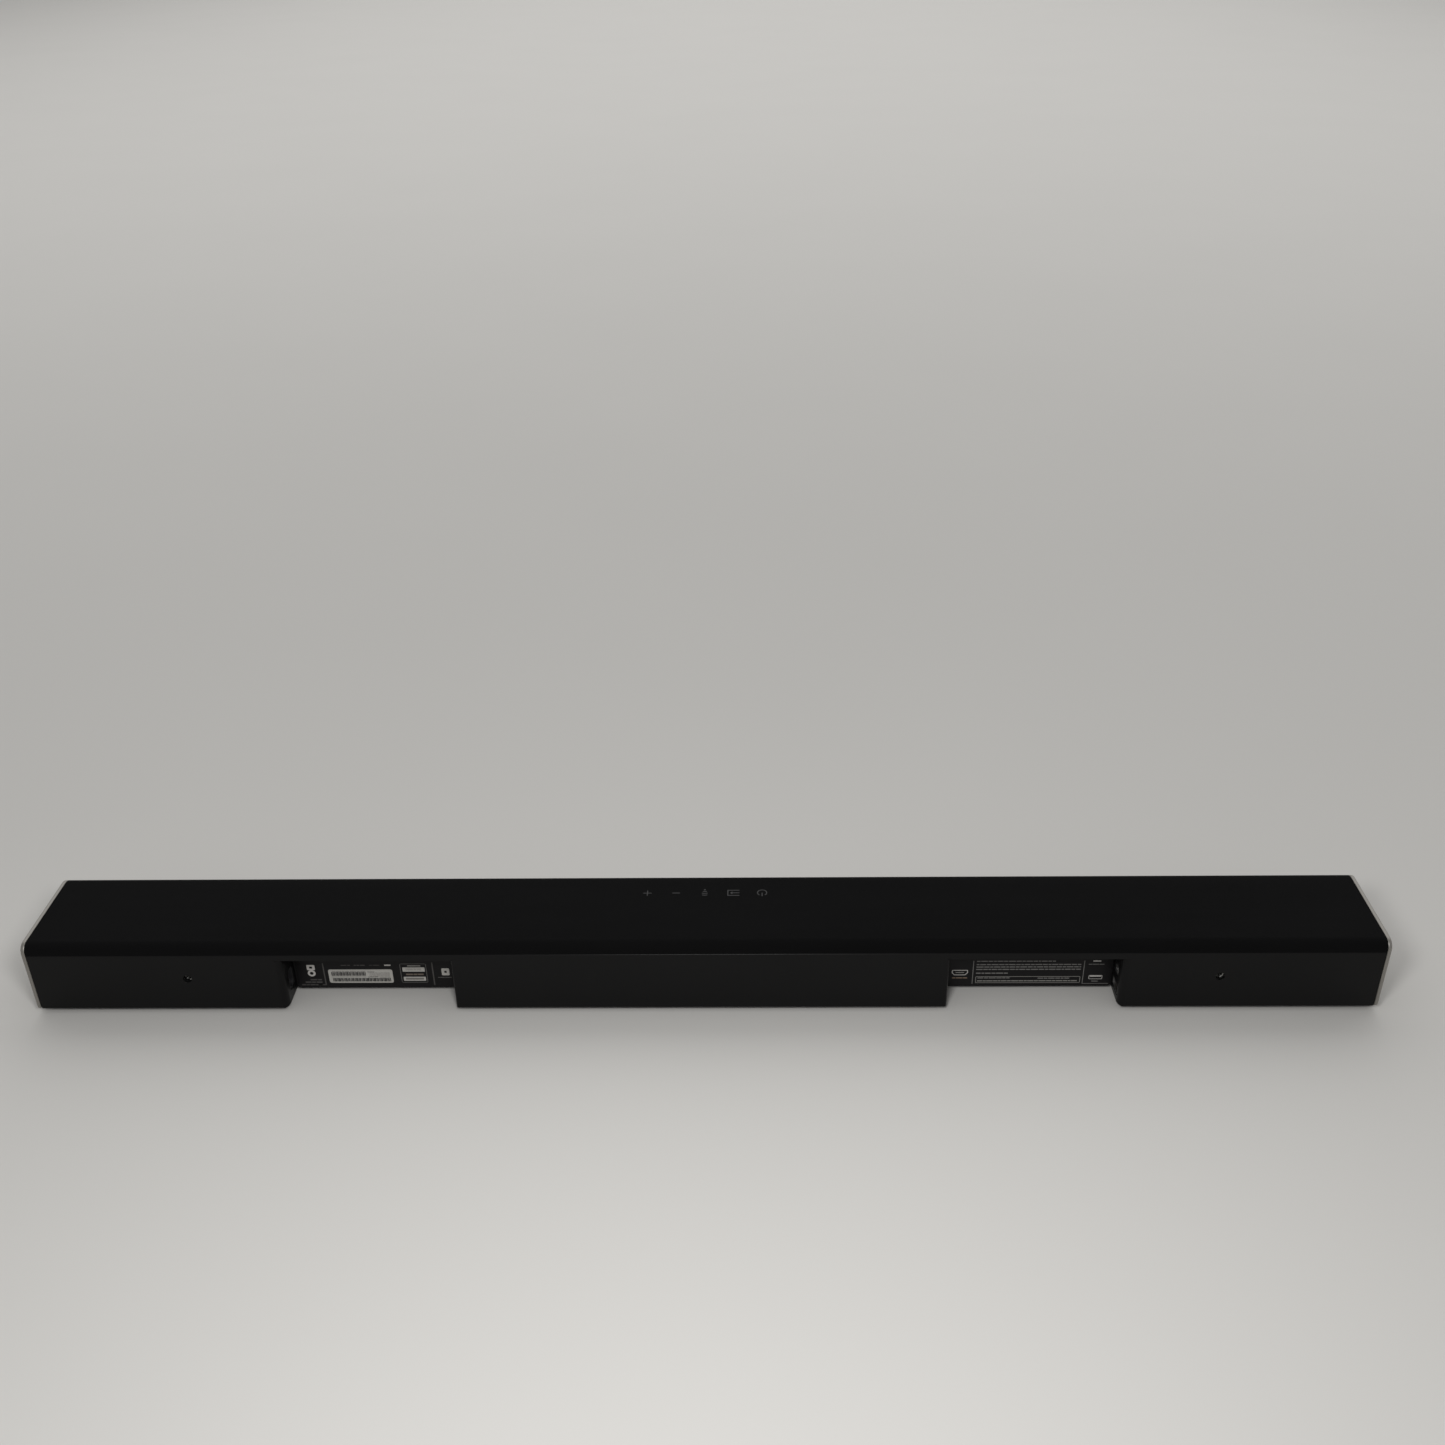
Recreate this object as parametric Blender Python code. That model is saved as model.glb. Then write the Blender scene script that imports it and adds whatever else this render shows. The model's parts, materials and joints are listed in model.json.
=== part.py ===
"""A slim fabric-covered soundbar, modelled as the assembly it is on a bench.

The row frame: +X runs along the bar to the listener's right, the grille faces -Y, the
connector side faces +Y, +Z is up, and the origin is the middle of the plane it stands on.
Everything is in metres; MM turns millimetres into metres.
"""

import math

import bmesh
import bpy
from mathutils import Vector

MM = 0.001

# ---- driving dimensions ---------------------------------------------------------------
LENGTH = 914.4 * MM
DEPTH = 81.3 * MM
HEIGHT = 57.9 * MM
FOOT_HEIGHT = 3.4 * MM
GAP = 0.3 * MM  # clearance between any two touching pieces
WALL = 2.5 * MM

END_X = LENGTH / 2
BACK_Y = DEPTH / 2
FRONT_Y = -DEPTH / 2
BASE_Z = FOOT_HEIGHT
TOP_Z = HEIGHT

# corner radii of the cross-section: front bottom, rear bottom, rear top, front top
CORNER_RADII = (4 * MM, 2 * MM, 7 * MM, 8 * MM)
PLATE_RADII = (4 * MM, 3 * MM, 7 * MM, 8 * MM)

PLATE_THICK = 2.7 * MM
BODY_X = END_X - PLATE_THICK - GAP  # half length of everything between the end plates

# the skin on the grille: cloth, then the perforated frame behind it
CLOTH = 0.6 * MM
FRAME_OUT = CLOTH + GAP
FRAME_IN = FRAME_OUT + 1.8 * MM
BODY_IN = FRAME_IN + GAP
SEAM_Z = 50.5 * MM  # rear edge of the cloth
HEM_Y = -30 * MM  # front edge of the cloth on the underside

# connector bays, cut into the rear and the underside
BAY_IN_X = 167.2 * MM
BAY_OUT_X = 282.5 * MM
BAY_BACK_Y = 18.2 * MM
BAY_TOP_Z = 45.3 * MM
BAY_MOUTH_RADIUS = 5.5 * MM
BAY_INNER_RADIUS = 2 * MM
LABEL_THICK = 0.4 * MM

# threaded inserts for wall-hanging screws, each in a boss behind a hole in the rear
HANG_X = 348 * MM
HANG_Z = 30 * MM
HANG_HOLE_RADIUS = 3 * MM
INSERT_BORE = 2.1 * MM
INSERT_RADIUS = 3.6 * MM
INSERT_NECK = 3.2 * MM
INSERT_END_Y = 28.8 * MM
BOSS_RADIUS = 6 * MM
BOSS_END_Y = 27 * MM

# keys on the top, in order from the listener's left
KEY_PITCH = 20 * MM
KEY_MIDDLE_X = -2.5 * MM
KEY_Y = -17.15 * MM
KEY_SIZE = 10 * MM
KEY_FLANGE = 12.4 * MM
KEY_TOP_Z = TOP_Z - 0.4 * MM
KEY_NAMES = ("key_power", "key_input", "key_wireless", "key_volume_down", "key_volume_up")

# loudspeaker units
DRIVERS = (
    ("outer_left", -402 * MM),
    ("inner_left", -350 * MM),
    ("inner_right", 350 * MM),
    ("outer_right", 402 * MM),
)
DRIVER_Z = 30.65 * MM
DRIVER_HOLE = 19.2 * MM
DRIVER_WINDOW = (44 * MM, 40 * MM, 8 * MM)  # width, height and corner radius
BAFFLE_FRONT_Y = -31 * MM
BAFFLE_THICK = 3 * MM
CHAMBER_X = 322 * MM

# inside faces of the housing
FLOOR_Z = BASE_Z + WALL
DECK_TOP_Z = TOP_Z - BODY_IN
DECK_Z = DECK_TOP_Z - WALL
STEP_Z = FLOOR_Z + 3 * MM  # the floor is raised behind the cloth's hem
STEP_Y = HEM_Y + 3.1 * MM
INSIDE_BACK_Y = BACK_Y - WALL
LEDGE_Z = SEAM_Z - GAP - WALL
LEDGE_Y = INSIDE_BACK_Y - 3 * MM

BOARD_THICK = 1.6 * MM
BOARD_TOP_Z = 12.4 * MM
BOARD_BASE_Z = BOARD_TOP_Z - BOARD_THICK
ON_BOARD_Z = BOARD_TOP_Z + GAP

ARC_STEPS = 4
ROUND = 16  # sides of a turned piece

MATERIALS = {
    "cloth": ((0.008, 0.008, 0.009), 0.95, 0.0),
    "plastic": ((0.016, 0.016, 0.017), 0.38, 0.0),
    "inner_plastic": ((0.03, 0.03, 0.032), 0.6, 0.0),
    "silver": ((0.42, 0.41, 0.39), 0.34, 1.0),
    "rubber": ((0.012, 0.012, 0.012), 0.85, 0.0),
    "label": ((0.02, 0.018, 0.021), 0.55, 0.0),
    "board": ((0.02, 0.09, 0.05), 0.5, 0.0),
    "steel": ((0.5, 0.5, 0.5), 0.35, 1.0),
    "magnet": ((0.05, 0.05, 0.055), 0.6, 0.3),
    "paper": ((0.045, 0.043, 0.04), 0.9, 0.0),
    "nickel": ((0.6, 0.6, 0.58), 0.3, 1.0),
    "aluminium": ((0.6, 0.6, 0.62), 0.4, 1.0),
    "component": ((0.04, 0.05, 0.12), 0.5, 0.0),
    "winding": ((0.5, 0.35, 0.1), 0.5, 0.0),
}


SIDES = ((-1, "left"), (1, "right"))


# ---- modelling helpers ----------------------------------------------------------------
def clear_scene():
    for obj in list(bpy.data.objects):
        bpy.data.objects.remove(obj)


def material(name):
    found = bpy.data.materials.get(name)
    if found:
        return found
    colour, roughness, metallic = MATERIALS[name]
    made = bpy.data.materials.new(name)
    made.use_nodes = True
    shader = made.node_tree.nodes["Principled BSDF"]
    shader.inputs["Base Color"].default_value = (*colour, 1)
    shader.inputs["Roughness"].default_value = roughness
    shader.inputs["Metallic"].default_value = metallic
    return made


def finish_mesh(name, bm, finish, smooth_angle=math.radians(35)):
    """Links a bmesh as an object, with its faces turned outwards."""
    bmesh.ops.recalc_face_normals(bm, faces=bm.faces)
    mesh = bpy.data.meshes.new(name)
    bm.to_mesh(mesh)
    bm.free()
    mesh.shade_smooth()
    mesh.set_sharp_from_angle(angle=smooth_angle)
    mesh.materials.append(material(finish))
    obj = bpy.data.objects.new(name, mesh)
    bpy.context.scene.collection.objects.link(obj)
    return obj


def rounded(corners, steps=ARC_STEPS):
    """An outline from corners (u, v, radius), each corner rounded by an arc."""
    points = []
    for i, (u, v, radius) in enumerate(corners):
        corner = Vector((u, v))
        if radius <= 0:
            points.append(corner)
            continue
        back = (Vector(corners[i - 1][:2]) - corner).normalized()
        ahead = (Vector(corners[(i + 1) % len(corners)][:2]) - corner).normalized()
        half = back.angle(ahead) / 2
        centre = corner + (back + ahead).normalized() * (radius / math.sin(half))
        first = corner + back * (radius / math.tan(half)) - centre
        last = corner + ahead * (radius / math.tan(half)) - centre
        sweep = first.angle_signed(last)
        for k in range(steps + 1):
            turn = -sweep * k / steps
            points.append(
                centre
                + Vector(
                    (
                        first.x * math.cos(turn) - first.y * math.sin(turn),
                        first.x * math.sin(turn) + first.y * math.cos(turn),
                    )
                )
            )
    return points


def rectangle(u0, u1, v0, v1, radius=0.0):
    return rounded([(u0, v0, radius), (u1, v0, radius), (u1, v1, radius), (u0, v1, radius)])


def circle(u, v, radius, sides=ROUND):
    turns = [2 * math.pi * k / sides for k in range(sides)]
    return [Vector((u + radius * math.cos(t), v + radius * math.sin(t))) for t in turns]


def on_axis(axis, u, v, along):
    """A point from an outline's (u, v) and its place along the axis of extrusion."""
    return {"X": (along, u, v), "Y": (u, along, v), "Z": (u, v, along)}[axis]


def prism(name, axis, outline, low, high, finish):
    """The outline extruded along a row axis: (u, v) is (y, z), (x, z) or (x, y)."""
    bm = bmesh.new()
    verts = [bm.verts.new(on_axis(axis, p[0], p[1], low)) for p in outline]
    face = bm.faces.new(verts)
    moved = bmesh.ops.extrude_face_region(bm, geom=[face])["geom"]
    top = [g for g in moved if isinstance(g, bmesh.types.BMVert)]
    shift = Vector(on_axis(axis, 0, 0, high - low))
    bmesh.ops.translate(bm, verts=top, vec=shift)
    return finish_mesh(name, bm, finish)


def block(name, x, y, z, finish):
    return prism(name, "Z", rectangle(x[0], x[1], y[0], y[1]), z[0], z[1], finish)


def turned(name, axis, centre, profile, finish, sides=ROUND):
    """A closed profile of (radius, along) points spun about an axis through centre."""
    bm = bmesh.new()
    rings = []
    for radius, along in profile:
        if radius == 0:
            spots = [bm.verts.new(Vector(on_axis(axis, 0, 0, along)) + centre)]
        else:
            spots = [
                bm.verts.new(Vector(on_axis(axis, p.x, p.y, along)) + centre)
                for p in circle(0, 0, radius, sides)
            ]
        rings.append(spots)
    for i, ring in enumerate(rings):
        after = rings[(i + 1) % len(rings)]
        if len(ring) == 1 and len(after) == 1:
            continue
        for k in range(sides):
            corners = [ring[k % len(ring)], ring[(k + 1) % len(ring)]]
            corners += [after[(k + 1) % len(after)], after[k % len(after)]]
            bm.faces.new(list(dict.fromkeys(corners)))
    return finish_mesh(name, bm, finish)


def combine(target, operation, operands):
    for operand in operands:
        modifier = target.modifiers.new(operand.name, "BOOLEAN")
        modifier.operation = operation
        modifier.object = operand
        operand.hide_render = True
        operand.display_type = "WIRE"
    return target


def cut(target, *cutters):
    return combine(target, "DIFFERENCE", cutters)


def join(target, *parts):
    return combine(target, "UNION", parts)


def cable(name, route, radius, finish, per_leg=4):
    """A round lead along a smooth line through the route's points."""
    points = [Vector(p) for p in route]
    ends = [2 * points[0] - points[1], *points, 2 * points[-1] - points[-2]]
    line = []
    for a, b, c, d in zip(ends, ends[1:], ends[2:], ends[3:]):
        for k in range(per_leg):
            t = k / per_leg
            line.append(
                0.5
                * (
                    2 * b
                    + (c - a) * t
                    + (2 * a - 5 * b + 4 * c - d) * t**2
                    + (3 * b - a - 3 * c + d) * t**3
                )
            )
    line.append(points[-1])
    data = bpy.data.curves.new(name, "CURVE")
    data.dimensions = "3D"
    data.bevel_depth = radius
    data.bevel_resolution = 1
    data.use_fill_caps = True
    spline = data.splines.new("POLY")
    spline.points.add(len(line) - 1)
    for spot, point in zip(spline.points, line):
        spot.co = (*point, 1)
    data.materials.append(material(finish))
    obj = bpy.data.objects.new(name, data)
    bpy.context.scene.collection.objects.link(obj)
    return obj


# ---- the cross-section ------------------------------------------------------------------
def section_corners(inset):
    """The bar's cross-section (y, z, radius), moved inwards by inset."""
    radii = [max(r - inset, 0.2 * MM) for r in CORNER_RADII]
    y0, y1 = FRONT_Y + inset, BACK_Y - inset
    z0, z1 = BASE_Z + inset, TOP_Z - inset
    return [(y0, z0, radii[0]), (y1, z0, radii[1]), (y1, z1, radii[2]), (y0, z1, radii[3])]


def band(outer, inner, start, corners, end):
    """A wrapped strip between two insets: from start, round the named corners, to end.

    start and end are functions of the inset, and corners are indexes into the section."""

    def path(inset):
        section = section_corners(inset)
        stops = [(*start(inset), 0), *(section[k] for k in corners), (*end(inset), 0)]
        return rounded(stops)

    return path(outer) + list(reversed(path(inner)))


def front_hem(inset):
    return HEM_Y, BASE_Z + inset


def rear_hem(low):
    return lambda inset: (BACK_Y - inset, low)


# ---- grille -----------------------------------------------------------------------------
FRAME_SPLIT_Y = -31 * MM  # where the front frame meets the top frame, under the cloth
# front windows in (x0, x1, z0, z1, corner radius), after those of the loudspeaker units
INDICATOR_WINDOW = (-301 * MM, -221 * MM, 16 * MM, 40 * MM, 4 * MM)
SENSOR_WINDOW = (-213 * MM, -197 * MM, 22 * MM, 38 * MM, 4 * MM)


def key_places():
    middle = (len(KEY_NAMES) - 1) / 2
    return [(name, KEY_MIDDLE_X + (i - middle) * KEY_PITCH) for i, name in enumerate(KEY_NAMES)]


def key_hole(owner, x, low, high):
    half = KEY_SIZE / 2 + GAP
    outline = rectangle(x - half, x + half, KEY_Y - half, KEY_Y + half, 1.3 * MM)
    return prism(f"hole_{owner}_{x / MM:.0f}", "Z", outline, low, high, "plastic")


def build_grille():
    cloth = prism(
        "grille_cloth",
        "X",
        band(0, CLOTH, front_hem, (0, 3, 2), rear_hem(SEAM_Z)),
        -BODY_X,
        BODY_X,
        "cloth",
    )
    front = prism(
        "front_grille_frame",
        "X",
        band(FRAME_OUT, FRAME_IN, front_hem, (0, 3), lambda inset: (FRAME_SPLIT_Y, TOP_Z - inset)),
        -BODY_X,
        BODY_X,
        "inner_plastic",
    )
    top = prism(
        "top_grille_frame",
        "X",
        band(
            FRAME_OUT,
            FRAME_IN,
            lambda inset: (FRAME_SPLIT_Y + GAP, TOP_Z - inset),
            (2,),
            rear_hem(SEAM_Z + GAP),
        ),
        -BODY_X,
        BODY_X,
        "inner_plastic",
    )
    for _, x in key_places():
        cut(cloth, key_hole("cloth", x, TOP_Z - 2 * MM, TOP_Z + 1 * MM))
        cut(top, key_hole("frame", x, TOP_Z - 4 * MM, TOP_Z))
    wide, tall, corner = DRIVER_WINDOW
    low, high = DRIVER_Z - tall / 2, DRIVER_Z + tall / 2
    windows = [(x - wide / 2, x + wide / 2, low, high, corner) for _, x in DRIVERS]
    windows += [INDICATOR_WINDOW, SENSOR_WINDOW]
    for i, (x0, x1, z0, z1, radius) in enumerate(windows):
        outline = rectangle(x0, x1, z0, z1, radius)
        cutter = prism(f"window_{i}", "Y", outline, FRONT_Y - 1 * MM, FRONT_Y + 5 * MM, "plastic")
        cut(front, cutter)


# ---- housing ----------------------------------------------------------------------------
KEY_WINDOW = (54 * MM, 9 * MM)  # half length and half width of the deck's opening under the keys
POST_RADIUS = 2.5 * MM


def housing_section():
    step = HEM_Y + 2 * GAP
    inset = BODY_IN
    return rounded(
        [
            (step, BASE_Z, 0),
            (BACK_Y, BASE_Z, CORNER_RADII[1]),
            (BACK_Y, SEAM_Z - GAP, 0.6 * MM),
            (BACK_Y - inset, SEAM_Z - GAP, 0),
            (BACK_Y - inset, DECK_TOP_Z, CORNER_RADII[2] - inset),
            (FRONT_Y + inset, DECK_TOP_Z, CORNER_RADII[3] - inset),
            (FRONT_Y + inset, BASE_Z + inset, 1 * MM),
            (step, BASE_Z + inset, 0),
        ]
    )


def hollow_outline(clear, front):
    """The housing's inside, seen from its end, with its walls moved in by clear."""
    return [
        Vector(p)
        for p in (
            (front, STEP_Z + clear),
            (STEP_Y + clear, STEP_Z + clear),
            (STEP_Y + clear, FLOOR_Z + clear),
            (INSIDE_BACK_Y - clear, FLOOR_Z + clear),
            (INSIDE_BACK_Y - clear, LEDGE_Z - clear),
            (LEDGE_Y - clear, LEDGE_Z - clear),
            (LEDGE_Y - clear, DECK_Z - clear),
            (front, DECK_Z - clear),
        )
    ]


def bay_outline(side, grow=0.0):
    """A connector bay in plan. Its mouth flares into rounded edges where it meets the rear."""
    x0, x1, y0 = BAY_IN_X - grow, BAY_OUT_X + grow, BAY_BACK_Y - grow
    mouth = BACK_Y + 0.05 * MM
    beyond = BACK_Y + 6 * MM
    if grow:
        corners = [(x0, y0, 0), (x1, y0, 0), (x1, beyond, 0), (x0, beyond, 0)]
    else:
        corners = [
            (x0, y0, 1 * MM),
            (x1, y0, 1 * MM),
            (x1, mouth, BAY_MOUTH_RADIUS),
            (x1 + BAY_MOUTH_RADIUS + 0.3 * MM, mouth, 0),
            (x1 + BAY_MOUTH_RADIUS + 0.3 * MM, beyond, 0),
            (x0 - BAY_INNER_RADIUS - 0.3 * MM, beyond, 0),
            (x0 - BAY_INNER_RADIUS - 0.3 * MM, mouth, 0),
            (x0, mouth, BAY_INNER_RADIUS),
        ]
    return [Vector((side * p.x, p.y)) for p in rounded(corners)]


def build_housing(socket_holes):
    """The rear moulding; socket_holes lists (name, outline, low x, high x) in the bays' walls."""
    housing = prism("rear_housing", "X", housing_section(), -BODY_X, BODY_X, "plastic")
    hollow = prism(
        "hollow",
        "X",
        hollow_outline(0, FRONT_Y),
        -BODY_X - 2 * MM,
        BODY_X + 2 * MM,
        "plastic",
    )
    bays = []
    for side, tag in SIDES:
        low = BASE_Z - 2 * MM
        bays.append(prism(f"bay_{tag}", "Z", bay_outline(side), low, BAY_TOP_Z, "plastic"))
        walls = bay_outline(side, WALL)
        cut(hollow, prism(f"bay_walls_{tag}", "Z", walls, low, BAY_TOP_Z + WALL, "plastic"))
    cut(housing, hollow, *bays)

    half_x, half_y = KEY_WINDOW
    window = block(
        "key_window",
        (-half_x, half_x),
        (KEY_Y - half_y, KEY_Y + half_y),
        (DECK_Z - 1 * MM, DECK_TOP_Z + 1 * MM),
        "plastic",
    )
    cut(housing, window)

    for side, tag in SIDES:
        spot = Vector((side * HANG_X, 0, HANG_Z))
        root_y = INSIDE_BACK_Y + 0.45 * MM
        boss = [(0, BOSS_END_Y), (BOSS_RADIUS, BOSS_END_Y), (BOSS_RADIUS, root_y), (0, root_y)]
        bore = [
            (0, INSERT_END_Y - GAP),
            (INSERT_RADIUS + GAP, INSERT_END_Y - GAP),
            (INSERT_RADIUS + GAP, INSIDE_BACK_Y),
            (HANG_HOLE_RADIUS, INSIDE_BACK_Y),
            (HANG_HOLE_RADIUS, BACK_Y + 1 * MM),
            (0, BACK_Y + 1 * MM),
        ]
        join(housing, turned(f"hang_boss_{tag}", "Y", spot, boss, "plastic"))
        cut(housing, turned(f"hang_bore_{tag}", "Y", spot, bore, "plastic"))

    post_top = BOARD_BASE_Z - GAP
    for i, (x, y) in enumerate(POST_PLACES):
        outline = circle(x, y, POST_RADIUS, 10)
        join(housing, prism(f"post_{i}", "Z", outline, FLOOR_Z - 1 * MM, post_top, "plastic"))
    for name, outline, low, high in socket_holes:
        cut(housing, prism(f"hole_{name}", "X", outline, low, high, "plastic"))
    for name, x, y in foot_places():
        pocket, top = foot_outline(x, y, GAP), FOOT_TOP + GAP
        cut(housing, prism(f"pocket_{name}", "Z", pocket, BASE_Z - 1 * MM, top, "plastic"))


# ---- feet, plates and walls ----------------------------------------------------------------
FOOT_TOP = BASE_Z + 0.7 * MM
FOOT_LONG = 40 * MM
FOOT_WIDE = 12 * MM
FOOT_X = 395 * MM
FOOT_ROWS = (("front", -16 * MM), ("rear", 28 * MM))


def foot_places():
    return [(f"foot_{row}_{tag}", side * FOOT_X, y) for row, y in FOOT_ROWS for side, tag in SIDES]


def foot_outline(x, y, grow=0.0):
    half_x, half_y = FOOT_LONG / 2 + grow, FOOT_WIDE / 2 + grow
    return rectangle(x - half_x, x + half_x, y - half_y, y + half_y, half_y - 0.1 * MM)


def build_feet():
    for name, x, y in foot_places():
        prism(name, "Z", foot_outline(x, y), 0, FOOT_TOP, "rubber")


PEGS = ((-20 * MM, 28 * MM), (20 * MM, 28 * MM))  # (y, z) of the end plate's pegs
PEG_RADIUS = 2 * MM
PEG_SIDES = 12
CAP_THICK = 3 * MM


def build_ends():
    section = [(y, z, r) for (y, z, _), r in zip(section_corners(0), PLATE_RADII)]
    for side, tag in SIDES:
        inner, outer = side * (END_X - PLATE_THICK), side * END_X
        low, high = min(inner, outer), max(inner, outer)
        plate = prism(f"end_plate_{tag}", "X", rounded(section, 6), low, high, "silver")
        cap_in, cap_out = side * (BODY_X - GAP - CAP_THICK), side * (BODY_X - GAP)
        cap = prism(
            f"end_cap_{tag}",
            "X",
            hollow_outline(GAP, FRONT_Y + BODY_IN + GAP),
            min(cap_in, cap_out),
            max(cap_in, cap_out),
            "inner_plastic",
        )
        for i, (y, z) in enumerate(PEGS):
            reach = sorted((side * (BODY_X - 2.5 * MM), side * (END_X - PLATE_THICK / 2)))
            peg = circle(y, z, PEG_RADIUS, PEG_SIDES)
            join(plate, prism(f"peg_{tag}_{i}", "X", peg, *reach, "silver"))
            through = sorted((side * (BODY_X - 6 * MM), side * (BODY_X + 2 * MM)))
            hole = circle(y, z, PEG_RADIUS + GAP, PEG_SIDES)
            cut(cap, prism(f"peg_hole_{tag}_{i}", "X", hole, *through, "silver"))


def build_walls():
    half = BODY_X - CAP_THICK - 2 * GAP
    outline = rectangle(-half, half, STEP_Z + GAP, DECK_Z - GAP)
    back = BAFFLE_FRONT_Y + BAFFLE_THICK
    baffle = prism("front_baffle", "Y", outline, BAFFLE_FRONT_Y, back, "inner_plastic")
    for name, x in DRIVERS:
        hole = circle(x, DRIVER_Z, DRIVER_HOLE)
        through = (BAFFLE_FRONT_Y - 1 * MM, back + 1 * MM)
        cut(baffle, prism(f"hole_{name}", "Y", hole, *through, "plastic"))
    for side, tag in SIDES:
        inner, outer = side * CHAMBER_X, side * (CHAMBER_X + WALL)
        wall = prism(
            f"chamber_wall_{tag}",
            "X",
            hollow_outline(GAP, back + GAP),
            min(inner, outer),
            max(inner, outer),
            "inner_plastic",
        )
        middle = (inner + outer) / 2
        notch = block(
            f"notch_{tag}",
            (middle - 3 * MM, middle + 3 * MM),
            (4 * MM, 12 * MM),
            (FLOOR_Z - 1 * MM, 13 * MM),
            "plastic",
        )
        cut(wall, notch)


def build_socket_labels():
    inner, outer = BAY_IN_X + 1.2 * MM, BAY_OUT_X - 1.2 * MM
    near = BAY_BACK_Y + GAP
    for side, tag in SIDES:
        low, high = sorted((side * inner, side * outer))
        outline = rectangle(low, high, BASE_Z + 0.8 * MM, BAY_TOP_Z - 0.6 * MM, 1 * MM)
        prism(f"socket_label_{tag}", "Y", outline, near, near + LABEL_THICK, "label")


def build_hang_inserts():
    profile = [
        (INSERT_BORE, INSERT_END_Y),
        (INSERT_RADIUS, INSERT_END_Y),
        (INSERT_RADIUS, 32.6 * MM),
        (INSERT_NECK, 33 * MM),
        (INSERT_NECK, 33.6 * MM),
        (INSERT_RADIUS, 34 * MM),
        (INSERT_RADIUS, INSIDE_BACK_Y - GAP),
        (INSERT_BORE, INSIDE_BACK_Y - GAP),
    ]
    for side, tag in SIDES:
        spot = Vector((side * HANG_X, 0, HANG_Z))
        turned(f"wall_insert_{tag}", "Y", spot, profile, "nickel")


# ---- keys ---------------------------------------------------------------------------------
FLANGE_BASE_Z = 54.2 * MM
FLANGE_TOP_Z = TOP_Z - FRAME_IN - GAP
DOME_TOP_Z = 53.2 * MM
MAT_BASE_Z = DECK_Z
MAT_TOP_Z = MAT_BASE_Z + 0.4 * MM
MAT_HALF = (50 * MM, 8 * MM)
KEY_BOARD_X = 62 * MM
KEY_BOARD_Y = (-27.4 * MM, -6 * MM)


def square(x, size, radius):
    half = size / 2
    return rectangle(x - half, x + half, KEY_Y - half, KEY_Y + half, radius)


def build_keys():
    for name, x in key_places():
        face, skirt = square(x, KEY_SIZE, 1 * MM), square(x, KEY_FLANGE, 0.8 * MM)
        cap = prism(name, "Z", face, FLANGE_TOP_Z - 0.3 * MM, KEY_TOP_Z, "cloth")
        join(cap, prism(f"flange_{name}", "Z", skirt, FLANGE_BASE_Z, FLANGE_TOP_Z, "cloth"))
    half_x, half_y = MAT_HALF
    mat = block(
        "key_mat",
        (-half_x, half_x),
        (KEY_Y - half_y, KEY_Y + half_y),
        (MAT_BASE_Z, MAT_TOP_Z),
        "rubber",
    )
    for name, x in key_places():
        spot = Vector((x, KEY_Y, 0))
        dome = [
            (0, MAT_BASE_Z + 0.1 * MM),
            (4 * MM, MAT_BASE_Z + 0.1 * MM),
            (4 * MM, MAT_TOP_Z),
            (2.6 * MM, DOME_TOP_Z),
            (0, DOME_TOP_Z),
        ]
        join(mat, turned(f"dome_{name}", "Z", spot, dome, "rubber", 12))
    block(
        "key_board",
        (-KEY_BOARD_X, KEY_BOARD_X),
        KEY_BOARD_Y,
        (DECK_Z - GAP - BOARD_THICK, DECK_Z - GAP),
        "board",
    )


# ---- loudspeaker units -------------------------------------------------------------------
def build_driver(name, x):
    """One 45 mm full-range unit: pressed basket, motor, paper cone and rubber surround."""
    spot = Vector((x, 0, DRIVER_Z))
    face = BAFFLE_FRONT_Y - GAP
    front = face - 2 * MM
    basket = [
        (17.5 * MM, front),
        (21 * MM, front),
        (21 * MM, face),
        (18.8 * MM, face),
        (18.8 * MM, -27 * MM),
        (13.6 * MM, -15.8 * MM),
        (13.6 * MM, -14 * MM),
        (8 * MM, -14 * MM),
        (8 * MM, -15.2 * MM),
        (12.2 * MM, -15.2 * MM),
        (17.5 * MM, -27.4 * MM),
    ]
    turned(f"{name}_basket", "Y", spot, basket, "steel")
    motor = [
        (0, -13.7 * MM),
        (5.2 * MM, -13.7 * MM),
        (5.2 * MM, -6 * MM),
        (7 * MM, -6 * MM),
        (7 * MM, -13.7 * MM),
        (15 * MM, -13.7 * MM),
        (15 * MM, -4.4 * MM),
        (14.6 * MM, -4 * MM),
        (0, -4 * MM),
    ]
    turned(f"{name}_magnet", "Y", spot, motor, "magnet")
    cone = [
        (0, -26.6 * MM),
        (3.6 * MM, -26 * MM),
        (6.4 * MM, -24.2 * MM),
        (14.2 * MM, -32.6 * MM),
        (14.2 * MM, -31.8 * MM),
        (6.4 * MM, -22.8 * MM),
        (6.4 * MM, -9 * MM),
        (5.7 * MM, -9 * MM),
        (5.7 * MM, -23.6 * MM),
        (0, -25 * MM),
    ]
    turned(f"{name}_cone", "Y", spot, cone, "paper")
    # a half roll between the cone's edge and the basket's ring
    middle, roll, thick = 15.85 * MM, 1.35 * MM, 0.6 * MM
    arcs = [math.pi * k / 4 for k in range(5)]
    outer = [(middle - roll * math.cos(a), front - roll * math.sin(a)) for a in arcs]
    inner_roll = roll - thick
    inner = [(middle + inner_roll * math.cos(a), front - inner_roll * math.sin(a)) for a in arcs]
    turned(f"{name}_surround", "Y", spot, outer + inner, "rubber")


# ---- sockets --------------------------------------------------------------------------------
NOSE_INSET = 0.3 * MM  # how far a socket's face sits behind the bay wall's face
SOCKET_RIM = 0.8 * MM


def span(inner_x, direction, near, far):
    """Two x values, in order, measured from a bay wall into the housing."""
    return sorted((inner_x + direction * near, inner_x + direction * far))


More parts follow.
